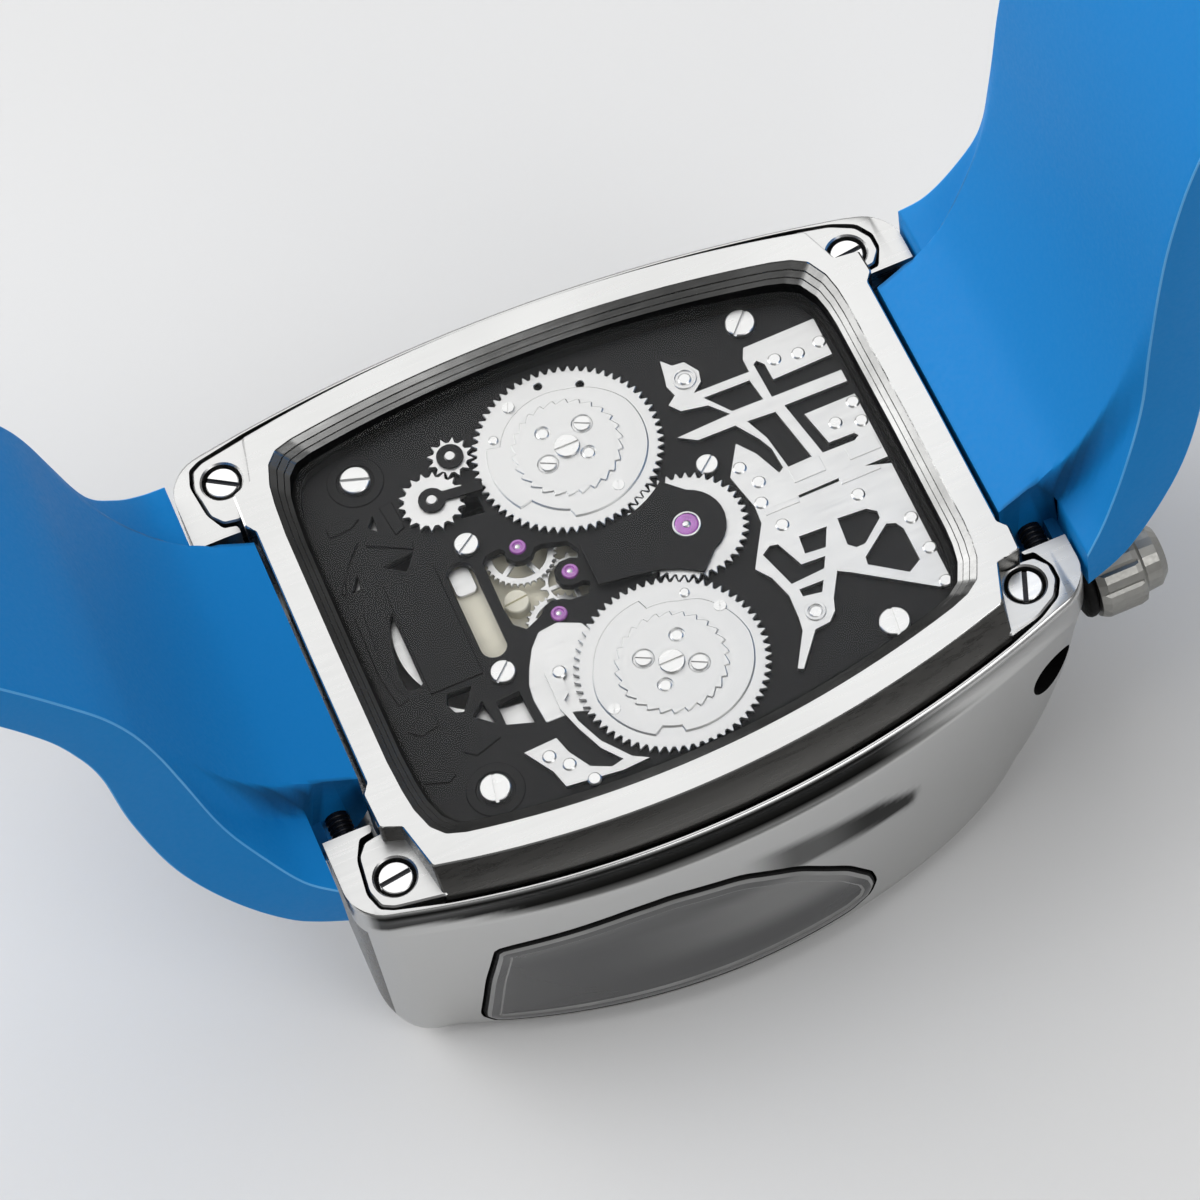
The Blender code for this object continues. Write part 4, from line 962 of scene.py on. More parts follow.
def strap_skin(name, rows, tongue, half):
    """One moulded half as a thick sheet: wings from row to row, and the tongue between the lugs."""
    dense, columns = flowing(rows, ROW_STEPS), strap_columns()
    crest, count = strap_crest(tongue, dense), len(tongue)

    def across(column, w):
        kind, share, side = column
        core = min(half, CORE_SHARE * w)
        return side * (core * share if kind == "in" else core + (w - core) * share)

    top, low = {}, {}
    for i, (x, _, deep) in enumerate(tongue):
        for j, column in enumerate(columns):
            if column[0] == "in":
                y = across(column, half / CORE_SHARE + 1)
                top[i, j], low[i, j] = (crest[i].x, y, crest[i].z), (x, y, deep)
    for i, (xi, zi, xo, zo, w, _) in enumerate(dense):
        inner, outer = Vector((xi, 0, zi)), Vector((xo, 0, zo))
        fade = i / ROW_STEPS
        rise = (crest[count + i] - inner) * (1 - smoothed(4.0, 5.5, fade))
        for j, column in enumerate(columns):
            y = across(column, w)
            edge = half + 0.25 * fade
            share = 1 - smoothed(edge - 0.1, edge + 0.5 + 0.35 * fade, abs(y))
            side = Vector((0, y, 0))
            top[count + i, j] = tuple(inner + rise * share + side)
            low[count + i, j] = tuple(outer + side)
    return thick_sheet(name, top, low, count + len(dense), len(columns))


def strap_section(rows, i, share):
    """Middle of a strap half part of the way to its next row, and the way from inner to outer face."""
    xi, zi, xo, zo = (p + (q - p) * share for p, q in zip(rows[i][:4], rows[i + 1][:4]))
    way = Vector((xo - xi, 0, zo - zi)).normalized()
    return Matrix.Translation(((xi + xo) / 2, 0, (zi + zo) / 2)), way


def on_strap(share):
    """Placement of a keeper across the 12 o'clock half."""
    place, out = strap_section(STRAP_12, 10, share)
    side = Vector((0, 1, 0))
    return place @ Matrix((out, side, out.cross(side))).transposed().to_4x4()


def cross_hole(x, z, r, steps, reach):
    """A round cutter that runs across the watch."""
    return moved(plate("cross_hole", circle(x, z, r, steps), (-reach, reach)), UPRIGHT)


def size_holes(rows):
    holes = []
    for i in range(9, 13):
        for share in (0.1, 0.6):
            place, way = strap_section(rows, i, share)
            turn = Vector((0, 0, 1)).rotation_difference(way).to_matrix().to_4x4()
            holes.append(moved(plate("size_hole", circle(0, 0, SIZE_HOLE_R, 32), (-6, 6)), place @ turn))
    return holes


def strap_cutters(name, rows):
    """Size holes, or slot and pin hole for the buckle, and the hole for the spring bar."""
    if name == "strap_6":
        cutters = size_holes(rows)
    else:
        cutters = [plate("prong_slot", rounded(*PRONG_SLOT), PRONG_SLOT_HEIGHTS)]
        cutters.append(cross_hole(*BUCKLE_PIN, PIN_HOLE_R, 24, 20))
    bar = BARS["spring_" + name.replace("strap", "bar")]
    return cutters + [cross_hole(*bar, STRAP_BAR_HOLE_R, 24, 20)]


def strap_heels(name):
    """Rubber that runs down beside the tongue, so that nothing shows through behind the spring bar."""
    heels = []
    for side in (-1, 1):
        heel = plate("heel", rounded(*HEELS[name], HEEL_HALF, 0.1), HEEL_HEIGHTS)
        heels.append(moved(heel, Matrix.Translation((0, side * HEEL_Y, 0))))
    return heels


def shade_folds(skin, half):
    """Marks the painted shade of the rubber: the folds beside the tongue, its side walls and the heels."""
    fold = skin.attributes.new("fold", "FLOAT", "POINT")
    for vertex, mark in zip(skin.vertices, fold.data):
        _, y, z = vertex.co
        foot = abs(y) - half - 0.25 * min(4.0, max(0.0, (z - 20) / 4))
        run = 1 - smoothed(22, 34, z)
        past = smoothed(0.15 + 0.2 * run, 0.35 + 0.75 * run, foot)
        beside = smoothed(-0.1, 0.1, foot) * (1 - past) * run
        if abs(vertex.normal.y) > 0.7 and abs(y) < half + 0.1 and z < 23:
            beside = 0.75
        if half < abs(y) < LUG_GAP_HALF and z < HEEL_HEIGHTS[1] + 0.1:
            beside = 0.6
        mark.value = beside if vertex.normal.z > -0.1 else 0.0


class WATCH_OT_straps(bpy.types.Operator):
    """Both moulded strap halves and their two keepers"""
    bl_idname = "watch.straps"
    bl_label = "Straps and keepers"

    def execute(self, context):
        look = context.scene.watch_strap
        half, edge = look.tongue * 1000, look.edge * 1000
        for name, rows, tongue in (("strap_12", STRAP_12, TONGUE_12), ("strap_6", STRAP_6, TONGUE_6)):
            skin = strap_skin(name, rows, tongue, half)
            # Painted shade goes beside the tongue, and a painted highlight on the rounded edges.
            skin = eased(skin, edge, ("silicone_rubber_painted_fold_shade", "silicone_rubber_painted_edge_highlight"))
            skin = carved(carved(skin, strap_heels(name), 45, "UNION"), strap_cutters(name, rows), 45)
            shade_folds(skin, half)
            fit(link_mesh(name + "_rubber", skin), name + "_half", "blue_rubber", name)
        loop = rounded(*KEEPER_OUTLINE)
        for name, hole, share, body, nodes in KEEPERS:
            band = plate(name, loop, KEEPER_HEIGHTS, [rounded(*hole, 0.8)], KEEPER_EDGE, 50)
            piece = link_mesh(name, moved(band, on_strap(share)), "silicone_rubber_moulded")
            fit(piece, body, "blue_rubber", *nodes)
        return {"FINISHED"}


CASE_FINISHES = (
    "stainless_steel_satin_ground", "stainless_steel_polished", "stainless_steel_satin_with_painted_shade",
    "nitrile_seal_and_painted_gap_shade", "stainless_steel_painted_shade_and_reflection",
)
# Numbers of the last four of them: rim edge, flank with its painted shade, pockets painted black as shade,
# and the end at 12 o'clock painted dark as shade.
RIM_EDGE, FLANK, POCKET, DARK_END = 1, 2, 3, 4
SLOT_FLOOR = 12.9
STEM_BORE_R, PORT_R = 1.25, 2.0
# Distances of the skin's stations from either end of the case, close where the lugs round off.
END_STATIONS = (0.0, 0.03, 0.1, 0.2, 0.34, 0.52, 0.75, 1.05, 1.4, 1.8, 2.2)
# Steps of the side pane from its painted black outline to its middle: mm inwards, mm out of the flank, share
# of its size.
PANE_STEPS = (
    (0, -1.2, 1), (0, -0.12, 1), (0.02, 0.06, 1), (0.17, 0.12, 1), (0.4, 0.24, 1), (0.9, 0.24, 1),
    (1.0, 0.16, 1), (1.1, 0.12, 1),
    *((1.1, 0.12, share) for share in (0.9, 0.75, 0.6, 0.45, 0.3, 0.15, 0.02)),
)
# Finish of each band of the pane, from its outline to its middle, by its number in PANE_FINISHES. The black
# outline is painted shade of the gap round the pane; the pale bevel bands are a painted highlight.
PANE_BANDS = [2, 2, 2, 1, 0, 1, 1] + [0] * 7
PANE_FINISHES = ("smoked_mineral_glass_and_painted_light", "mineral_glass_bevel_painted_highlight", "nitrile_seal_and_painted_gap_shade")


def case_skin():
    xs = [CASE_ENDS[0] + d for d in END_STATIONS] + stations(-23.7, 24.4, 110)
    xs += [CASE_ENDS[1] - d for d in reversed(END_STATIONS)]
    loops = []
    for x in xs:
        side = [(x, -w, z) for w, z in flank(x)]
        loops.append(side + [(x, -y, z) for x, y, z in reversed(side)])
    return loft("case_middle", loops)


def case_cutters():
    """Recess of the cover, strap slots, room for the works, front opening, pane pockets, bores and port."""
    cutters = [plate("recess", eased_loop(seat_outline(0.18), 0.8), (15.9, 25))]
    for x0, x1 in ((-32, -22.1), (22.6, 32)):
        cutters.append(plate("strap_slot", box_plan(x0, x1, LUG_GAP_HALF), (SLOT_FLOOR, 30)))
    cutters.append(plate("cavity", rounded(-20.4, 18.4, 15.2, 2.0), (4.6, 20)))
    cutters.append(plate("front_opening", rounded(-19.0, 11.5, 14.2, 3.0), (-3, 5.6)))
    for side in (-1, 1):
        cutters.append(loft("pane_pocket", [pane_loop(side, -0.2, -1.35), pane_loop(side, -0.2, 3.0)]))
    for bar in BARS.values():
        cutters.append(cross_hole(*bar, LUG_BAR_HOLE_R, 20, 13.6))
    cutters.append(moved(plate("stem_bore", circle(0, 0, STEM_BORE_R, 24), (19.6, 40)), STEM))
    cutters.append(moved(plate("flank_port", circle(0, 0, PORT_R, 40), (0, 4)), PORT))
    return cutters


def shade_flank(body):
    """Marks the painted shade on the flank: a dark band in the groove under the rim, and the crease below it
    that ends before the crown end.
    """
    hollow = body.attributes.new("hollow", "FLOAT", "POINT")
    for vertex, mark in zip(body.vertices, hollow.data):
        x, _, z = vertex.co
        below, reach = rim(x) - z, 2.15 + 0.7 * smoothed(-24, -14, x)
        inside = smoothed(0.06, 0.22, below) * (1 - smoothed(reach - 0.35, reach, below))
        inside *= smoothed(-25.9, -25.2, x)
        inside *= 1 - smoothed(9, 17, x)
        top, low = 12.5 - 0.1 * (x - 2.6) - 0.25 * max(0.0, x - 8.7), 9.8 - 0.05 * (x - 2.6)
        crease = smoothed(low - 0.15, low + 0.25, z) * (1 - smoothed(top - 0.7, top + 0.1, z))
        crease *= 1 - smoothed(10.6, 11.4, x - 0.4 * (z - 9))
        crease *= 0.75 * smoothed(-2, 2.4, x) + 0.2 * smoothed(4, 8, x)
        mark.value = max(inside, crease)


def paint_case(body):
    """Numbers the finish of each face: rim edge, flanks, the pockets and port painted black and the end at 12
    o'clock painted dark, as shade.
    """
    middle = PORT @ Vector((0, 0, 2))
    axis = PORT.to_3x3() @ Vector((0, 0, 1))
    windows = [(x, z) for x, _, z in pane_loop(1, -0.25, 0)]
    shaded = seat_outline(0.22)
    for face in body.polygons:
        x, y, z = face.center
        below = rim(x) - z
        outside = abs(y) > case_half(x) - 1.2 and abs(face.normal.z) < 0.98
        away = face.center - middle
        near_axis = (away - axis * away.dot(axis)).length < PORT_R + 0.02 and away.length < 5
        in_port = near_axis and y > -flank_at(x, z) + 0.12
        in_pocket = within(x, z, windows) and 15 < abs(y) < flank_at(x, z) - 0.1
        in_recess = z > 15.85 and below > 0.05 and within(x, y, shaded) and not outside
        if outside:
            face.material_index = RIM_EDGE if below < 0.13 else FLANK
        # The port, the pane pockets and the recess are painted black as shade.
        if in_port or in_pocket or in_recess:
            face.material_index = POCKET
        # The end under the 12 o'clock strap is painted dark as shade.
        if face.normal.x < -0.75 and x < -26 and z < 15.5:
            face.material_index = DARK_END


def side_pane(side):
    """A smoked pane with its outline painted black as shade and its bevel, marked where painted light makes
    it paler.
    """
    rings = [pane_loop(side, *step) for step in PANE_STEPS]
    glass = loft("pane", rings, angle=30, bands=PANE_BANDS)
    shade = glass.attributes.new("shade", "FLOAT", "POINT")
    for vertex, mark in zip(glass.vertices, shade.data):
        x, _, z = vertex.co
        # Painted light: the share of the paler glass colour, in a band across the middle and towards the
        # lower end.
        glow = smoothed(-14, 2, x) * smoothed(4.6, 7.2, z) * (1 - smoothed(9.0, 10.4, z))
        foot = 0.4 * smoothed(-16, 4, x) * (1 - smoothed(2.2, 3.6, z))
        mark.value = min(1.0, 0.7 * glow + foot + 0.18 * smoothed(9, 11, z))
    return glass


class WATCH_OT_case(bpy.types.Operator):
    """Case middle with its lugs, groove, pane pockets and bores, and the two smoked side panes"""
    bl_idname = "watch.case"
    bl_label = "Case and side panes"

    def execute(self, context):
        body = carved(case_skin(), case_cutters())
        shade_flank(body)
        paint_case(body)
        fit(link_mesh("case_steel", body, *CASE_FINISHES), "case", "steel", "case_middle")
        for name, side in (("near", -1), ("far", 1)):
            pane = link_mesh(f"side_pane_{name}", side_pane(side), *PANE_FINISHES)
            fit(pane, "case", "smoked_crystal", f"side_window_{name}")
        return {"FINISHED"}


COVER_FINISHES = (
    "stainless_steel_satin_ground", "stainless_steel_polished", "stainless_steel_painted_shade_and_reflection",
    "nitrile_seal_and_painted_gap_shade", "stainless_steel_chamfer_painted_reflection",
)
# Finish of each band of the ring, from its foot round to its ledge, by its number in COVER_FINISHES. The wall
# and every other chamfer step are painted dark, and the ledge under the crystal black, as painted shade.
COVER_BANDS = [2, 2, 1, 0, 1, 4, 2, 4, 2, 4, 3, 3, 3, 3]
# Steps of the chamfer from the inner edge to the window: share of the way, mm below the top.
CHAMFER = ((-0.03, 0), (0.02, 0.1), (0.36, 0.34), (0.4, 0.46), (0.7, 0.66), (0.74, 0.76), (1.0, 0.93))
LEDGE = 18.4
TAB_HEIGHTS, TAB_HOLE_R = (17.5, 18.6), 1.42
WELL_HEIGHTS, WELL_R = (17.4, 17.62), 1.5
CRYSTAL_HEIGHTS, CRYSTAL_EDGE = (18.45, 19.0), 0.14
TAB_SHAPES = ([(-20.2, 13.5)] + TAB_12 + [(-20.2, 19.3)], [(20.4, 17.8)] + TAB_6 + [(20.6, 13.0)])


def cover_top(x):
    """Height of the top of the ring, which rises towards both ends."""
    return 20.0 + 0.6 * (x / 21) ** 2


def part_way(a, b, t):
    return [(p[0] + (q[0] - p[0]) * t, p[1] + (q[1] - p[1]) * t) for p, q in zip(a, b)]


def flat_loop(points, z):
    return [(x, y, z) for x, y in points]


def top_loop(points, down):
    return [(x, y, cover_top(x) - down) for x, y in points]


def cover_ring(window):
    """The ring: outer wall, top, stepped chamfer and the ledge under the crystal."""
    outer, foot, inner = (eased_loop(points) for points in cover_plan())
    ledge = shrunk(window, 0.45)
    wall = []
    for (x, y), (_, outer_y) in zip(foot, outer):
        wall.append((x, y, rim(x) - 0.2 if abs(y) > abs(outer_y) + 0.3 else 17.6))
    loops = [flat_loop(foot, COVER_FLOOR), wall, top_loop(outer, 0.1)]
    loops.append(top_loop(part_way(outer, inner, 0.05), 0))
    for t, down in CHAMFER:
        loops.append(top_loop(part_way(inner, window, t), down))
    loops += [flat_loop(window, LEDGE), flat_loop(ledge, LEDGE), flat_loop(ledge, COVER_FLOOR)]
    return loft("rear_cover", loops, ring=True, angle=25, bands=COVER_BANDS)


def cover_tabs(edge):
    """The four screw tabs, each with its floor and a black disc in its screw well, painted shade of the gap
    round the screw.
    """
    dark = COVER_FINISHES.index("nitrile_seal_and_painted_gap_shade")
    parts = []
    for shape in TAB_SHAPES:
        for side in (-1, 1):
            outline = eased_loop([(x, side * y) for x, y in shape], 0.8)
            spot = [at for at in REAR_SCREWS if at[0] * shape[1][0] > 0 and at[1] * side > 0][0]
            parts.append(plate("tab", outline, TAB_HEIGHTS, [circle(*spot, TAB_HOLE_R, 40)], edge))
            parts.append(plate("tab_floor", outline, (COVER_FLOOR, TAB_HEIGHTS[0])))
            # The black disc in each screw well is painted shade.
            parts.append(numbered(plate("screw_well", circle(*spot, WELL_R, 24), WELL_HEIGHTS), dark))
    return parts


class WATCH_OT_cover(bpy.types.Operator):
    """Rear cover with its ring, stepped chamfer and screw tabs, and the rear crystal"""
    bl_idname = "watch.cover"
    bl_label = "Rear cover and crystal"

    def execute(self, context):
        edge = context.scene.watch_case.edge * 1000
        window = eased_loop(shrunk(cover_plan()[2], 1.1))
        cover = joined("rear_cover", cover_ring(window), *cover_tabs(edge))
        fit(link_mesh("rear_cover_steel", cover, *COVER_FINISHES), "case", "steel", "rear_cover")
        glass = plate("rear_crystal", shrunk(window, 0.12), CRYSTAL_HEIGHTS, (), CRYSTAL_EDGE)
        glass = link_mesh("rear_crystal_sapphire", glass, "sapphire_crystal_polished")
        fit(glass, "case", "crystal", "rear_crystal")
        return {"FINISHED"}


# Outline of the raised collar of each ratchet wheel, in degrees and radius.
RELIEF = {
    "upper": (
        (155, 5.6), (213, 5.6), (217, 4.75), (250, 4.95), (254, 5.5),
        (340, 5.6), (380, 5.5), (430, 4.75), (513, 4.7),
    ),
    "lower": (
        (-103, 5.25), (-60, 5.4), (0, 5.65), (45, 5.2), (62, 4.75), (89, 4.6),
        (92, 5.35), (157, 5.3), (185, 5.6), (236, 5.5), (240, 4.8), (255, 4.8),
    ),
}
# Per wheel, from its arbor: screws and pins on the hub, screws and pins near the teeth, and small holes.
FITTINGS = {
    "upper": {
        "hub_screws": ((-1.68, -0.72), (1.62, 1.25)), "hub_pins": ((-1.12, 1.72), (1.18, -1.05)),
        "screws": ((-2.46, 4.8), (2.04, -4.28)), "pins": ((-4.36, 2.8), (4.14, -2.5), (-0.6, -4.6)),
        "holes": ((0.04, 5.5), (2.74, 4.4)),
    },
    "lower": {
        "hub_screws": ((-1.62, 1.05), (1.64, -0.85)), "hub_pins": ((1.1, 1.75), (-1.06, -1.4)),
        "screws": ((4.59, 2.6), (-4.81, -1.55)), "pins": ((2.84, 4.6), (5.09, -0.05), (-3.26, -3.85)),
        "holes": ((-4.96, 1.15),),
    },
}
# Seat, turn and size of each kind of fitting, and seat and size of the screw on the arbor.
FITTING_SEATS = {
    "hub_screws": (18.06, -0.5, 0.58), "screws": (17.9, 1.2, 0.44),
    "hub_pins": (18.03, 0, 0.45), "pins": (17.97, 0, 0.34),
}
ARBOR_SCREW = (18.16, 0.9)
# Small wheels of the train: body, arbor, radius, teeth, height of the underside, spokes.
TRAIN_WHEELS = (
    ("third", JEWELS[0], 2.5, 36, 16.5, 5),
    ("escape", JEWELS[1], 2.1, 15, 16.2, 4),
    ("fourth", JEWELS[2], 2.4, 32, 15.9, 5),
)
# Points of one tooth of the saw disc on a hub: radius, and angle from the tip.
SAW_TEETH, SAW_TOOTH = 26, ((3.9, 0.0), (3.86, 0.05), (3.6, 0.2))
PIN_PROFILE = [(0, -0.1), (1, -0.1), (1, 0.05), (0.8, 0.1), (0, 0.1)]


def polar(points, step=2.0):
    """An outline from (degrees, radius) points."""
    made = []
    for (a, r), (b, q) in zip(points, points[1:] + points[:1]):
        count = max(1, round((b - a) / step))
        for k in range(count):
            turn, reach = math.radians(a + (b - a) * k / count), r + (q - r) * k / count
            made.append((reach * math.cos(turn), reach * math.sin(turn)))
    return made


def ratchet_phase(name):
    """Turn at which a ratchet wheel's teeth stand between those of the intermediate wheel."""
    along, across = IDLER_AWAY
    if name == "upper":
        return math.atan2(-across, along)
    lag = (2 * math.atan2(across, -along) / (2 * math.pi / IDLER_TEETH)) % 1.0
    return math.atan2(across, along) - lag * (2 * math.pi / RATCHET_TEETH)


def ratchet_wheel(name, edge):
    """A ratchet wheel in three layers: toothed rim, raised collar and saw disc."""
    set_in = FITTINGS[name]
    bore = circle(0, 0, 0.55, 24)
    dots = [circle(*at, 0.3, 16) for at in set_in["holes"]]
    teeth = gear(RATCHET_TEETH, WHEEL_MODULE, ratchet_phase(name))
    saw = []
    for i in range(SAW_TEETH):
        a = 2 * math.pi * i / SAW_TEETH
        saw += [(r * math.cos(a + b), r * math.sin(a + b)) for r, b in SAW_TOOTH]
    wells = [circle(*at, 0.7, 24) for at in set_in["hub_screws"]]
    wells += [circle(*at, 0.5, 20) for at in set_in["hub_pins"]]
    return joined(
        name,
        plate("rim", teeth, LAYERS["rim"], [bore, *dots], edge),
        plate("collar", polar(RELIEF[name]), LAYERS["collar"], [bore], 0.09),
        plate("saw_disc", saw, LAYERS["saw_disc"], [bore, *wells], 0.07),
    )


def ratchet_fittings(name):
    """Slotted screws and pins set into a ratchet wheel."""
    x, y = WHEELS[name]

    def spots(kind):
        z, turn, size = FITTING_SEATS[kind]
        return [((x + u, y + v, z), (0, 0, turn), size) for u, v in FITTINGS[name][kind]]

    places = [seated((x, y), ARBOR_SCREW)]
    places += spots("hub_screws") + spots("screws")
    screws = repeated("screws", screw_head(*WHEEL_HEAD), places, "steel_screw_lapped")
    places = spots("hub_pins") + spots("pins")
    pins = repeated("pins", turned("pin", PIN_PROFILE, 20, 40), places, "steel_screw_lapped")
    return joined(f"ratchet_screws_{name}", screws, pins)


def intermediate_wheel(edge):
    along, across = IDLER_AWAY
    phase = math.atan2(across, -along) + math.pi / IDLER_TEETH
    teeth = gear(IDLER_TEETH, WHEEL_MODULE, phase)
    wheel = plate("idler", teeth, LAYERS["idler"], [circle(0, 0, 0.5, 24)], edge)
    return moved(wheel, Matrix.Translation((*IDLER, 0)))


def spoked_wheel(name, at, r, teeth, z, arms, edge):
    """A thin wheel with open spokes on its arbor."""
    gaps = []
    for k in range(arms):
        start = 360 * k / arms + 6
        rim_side = arc(0, 0, 0.76 * r, start, start + 360 / arms - 12, 8)
        hub_side = arc(0, 0, 0.3 * r, start + 360 / arms - 20, start + 8, 4)
        gaps.append(rim_side + hub_side)
    rim_line = gear(teeth, 2 * r / teeth, 0.1, 0.5, 0.9, 0.28)
    wheel = plate("wheel", rim_line, (z, z + 0.25), gaps, edge)
    arbor = plate("arbor", circle(0, 0, 0.28, 16), (z - 0.02, 16.85))
    return moved(joined(name, wheel, arbor), Matrix.Translation((*at, 0)))


class WATCH_OT_wheels(bpy.types.Operator):
    """Two ratchet wheels in relief, the wheel between them and the small wheels of the works"""
    bl_idname = "watch.wheels"
    bl_label = "Wheels"

    def execute(self, context):
        edge = context.scene.watch_works.edge * 1000
        grained = "rhodium_plated_brass_grained"
        for name, arbor in WHEELS.items():
            wheel = moved(ratchet_wheel(name, edge), Matrix.Translation((*arbor, 0)))
            piece = link_mesh(f"ratchet_wheel_{name}_relief", wheel, f"rhodium_plated_wheel_snailed_{name}")
            fit(piece, f"ratchet_{name}", "nickel", f"ratchet_wheel_{name}")
            fittings = ratchet_fittings(name)
            fittings = link_mesh(f"ratchet_screws_{name}_slotted", fittings, "steel_screw_lapped")
            fit(fittings, f"ratchet_{name}", "nickel", f"ratchet_screw_{name}")
        idler = link_mesh("intermediate_wheel_grained", intermediate_wheel(edge), grained)
        fit(idler, "intermediate", "nickel", "intermediate_wheel")
        coat(("setting_wheel", "minute_wheel", "balance_wheel"), grained)
        for body, *sizes in TRAIN_WHEELS:
            wheel = link_mesh(body + "_wheel_spoked", spoked_wheel(body, *sizes, edge), grained)
            fit(wheel, body, "nickel", body + "_wheel")
        return {"FINISHED"}


# Opening of the bridge over the train.
TRAIN = [
    (-9.0, 3.3), (-8.6, 3.75), (-7.6, 3.85), (-7.35, 3.5), (-7.45, 3.0), (-7.0, 2.4), (-6.4, 2.25),
    (-5.8, 2.4), (-5.35, 2.9), (-4.9, 2.95), (-3.2, 2.4), (-2.75, 1.5), (-3.0, 0.9), (-3.5, 1.15),
    (-4.3, 1.15), (-4.85, 0.7), (-5.0, 0.1), (-4.8, -0.6), (-4.2, -0.95), (-3.4, -0.9), (-2.95, -1.2),
    (-3.4, -2.0), (-4.7, -1.9), (-5.1, -1.6), (-5.9, -1.4), (-6.5, -1.6), (-6.9, -2.1), (-7.4, -2.35),
    (-8.2, -2.7), (-8.9, -2.0), (-9.05, -0.5),
]
# Smaller windows of the bridge.
WINDOWS = [
    [
        (-16.05, 2.4), (-16.5, 1.6), (-16.9, 0.4), (-17.1, -1.0),
        (-17.3, -2.5), (-17.2, -3.6), (-16.5, -3.75), (-16.05, -3.5),
    ],
    [(-15.2, -5.7), (-14.9, -5.0), (-13.2, -5.1), (-14.35, -6.7), (-14.9, -6.5)],
    [(-13.95, -7.3), (-13.0, -6.5), (-12.75, -8.4)],
    [(-12.2, -6.9), (-10.4, -6.8), (-10.25, -9.6), (-12.2, -8.9)],
    [(-15.1, 9.3), (-14.5, 10.05), (-14.6, 8.8)],
    [(-17.9, 5.0), (-17.1, 6.2), (-17.3, 5.1)],
    [(-15.3, 5.95), (-13.0, 6.2), (-13.9, 5.0)],
    [(-8.2, 8.6), (-7.4, 8.3), (-7.4, 7.0), (-9.0, 7.2)],
]
# Raised parts of the bridge at the 12 o'clock end.
RAISED = [
    [(-15.9, 4.6), (-12.1, 4.6), (-12.1, -4.6), (-15.9, -4.6)],
    [(-18.5, 3.2), (-17.8, 3.2), (-18.0, 0), (-17.8, -3.4), (-17.3, -4.3), (-18.2, -4.5), (-18.6, -2)],
    [(-16.7, 8.2), (-16.1, 8.5), (-17.8, 6.6), (-18.3, 4.9), (-18.7, 5.2)],
    [(-15.8, 8.0), (-12.9, 6.3), (-12.7, 6.9), (-15.4, 8.6)],
    [(-18.4, -6.6), (-16.9, -5.6), (-16.2, -6.1), (-16.3, -7.0), (-17.6, -7.3)],
    [(-15.6, -9.5), (-13.6, -8.9), (-12.8, -9.6), (-14.8, -10.2)],
    [(-17.8, 10.4), (-16.2, 10.6), (-15.4, 10.2), (-16.2, 9.7), (-17.8, 9.6)],
    [(-13.9, 10.4), (-12.9, 10.5), (-12.8, 8.2), (-13.6, 7.9)],
    [(-19.0, -9.6), (-17.2, -10.2), (-16.5, -10.9), (-17.2, -11.3), (-18.9, -10.6)],
]
# White pads under two small windows of the bridge: bright pieces for the glints seen through them, a painted
# highlight.
PADS = [(-14.7, 9.4, 1.1), (-17.4, 5.6, 1.0)]
# Bright plate beside the lower wheel.
BRIGHT = [
    (-8.5, -4.3), (-7.6, -3.3), (-6.2, -3.15), (-4.7, -3.9), (-4.2, -5.0), (-6.0, -8.0),
    (-6.3, -10.5), (-7.7, -9.95), (-9.7, -9.9), (-9.85, -8.0), (-9.7, -6.8), (-9.2, -5.6),
]
# Second layer of the skeleton plate.
LAYER = [
    [(12.5, -0.42), (14.8, -0.42), (14.8, 0.8), (12.5, 0.8)],
    [(16.6, -0.42), (18.9, -0.42), (18.9, 0.8), (16.6, 0.8)],
    [(9.75, -1.92), (12.2, -1.92), (12.2, -1.5), (9.75, -1.5)],
    [(15.3, -1.92), (18.2, -1.92), (18.2, -1.65), (15.3, -1.65)],
]
BEARINGS = ((8.95, 10.55, 0.86), (9.75, -10.1, 0.72))
# Bands under the windows over the balance: inner and outer radius, degrees from and to.
BALANCE_BANDS = ((5.4, 6.5, 150, 213), (6.95, 9.6, 214, 282))
JEWEL_PROFILE = [(0, -0.6), (1, -0.6), (1, 0), (0.9, 0.08), (0.62, 0.12), (0.5, 0.04), (0, 0.02)]
LARGE_JEWEL_PROFILE = [
    (0, -1.8), (0.5, -1.8), (0.5, -0.2), (1, -0.2), (1, 0), (0.85, 0.06), (0.5, 0.02), (0, -0.02),
]
# Seat and radius of the jewels, and of the pivots in them.
JEWEL_SEAT, LARGE_JEWEL_SEAT = (17.66, 0.58), (18.25, 0.82)
PIVOT_SEAT, LARGE_PIVOT_SEAT = (17.6, 0.24), (18.24, 0.3)


def bridge():
    """The pierced bridge with its raised parts and two screw bosses."""
    outline = shrunk(eased_loop(cover_plan()[2]), 1.52)
    holes = [arc(-10.7, 3.2, 0.92, 0, 180, 12) + arc(-10.7, -2.9, 0.92, 180, 360, 12)]
    holes += [eased_loop(points, 0.2) for points in [TRAIN, *WINDOWS]]
    holes += [circle(*at, 0.5, 20) for at in WHEELS.values()]
    holes += [circle(*at, 0.42, 20) for at in (IDLER, SETTING, MINUTE_WORK)]
    parts = [plate("bridge", outline, LAYERS["bridge"], holes, 0.05)]
    parts += [plate("raised", eased_loop(points, 0.25), LAYERS["raised"], (), 0.06) for points in RAISED]
    for x, y, _ in BRIDGE_SCREWS[:2]:
        parts.append(plate("boss", circle(x, y, 2.0, 48), LAYERS["boss"], [circle(x, y, 1.3, 40)], 0.06))
    return joined("bridge", *parts)


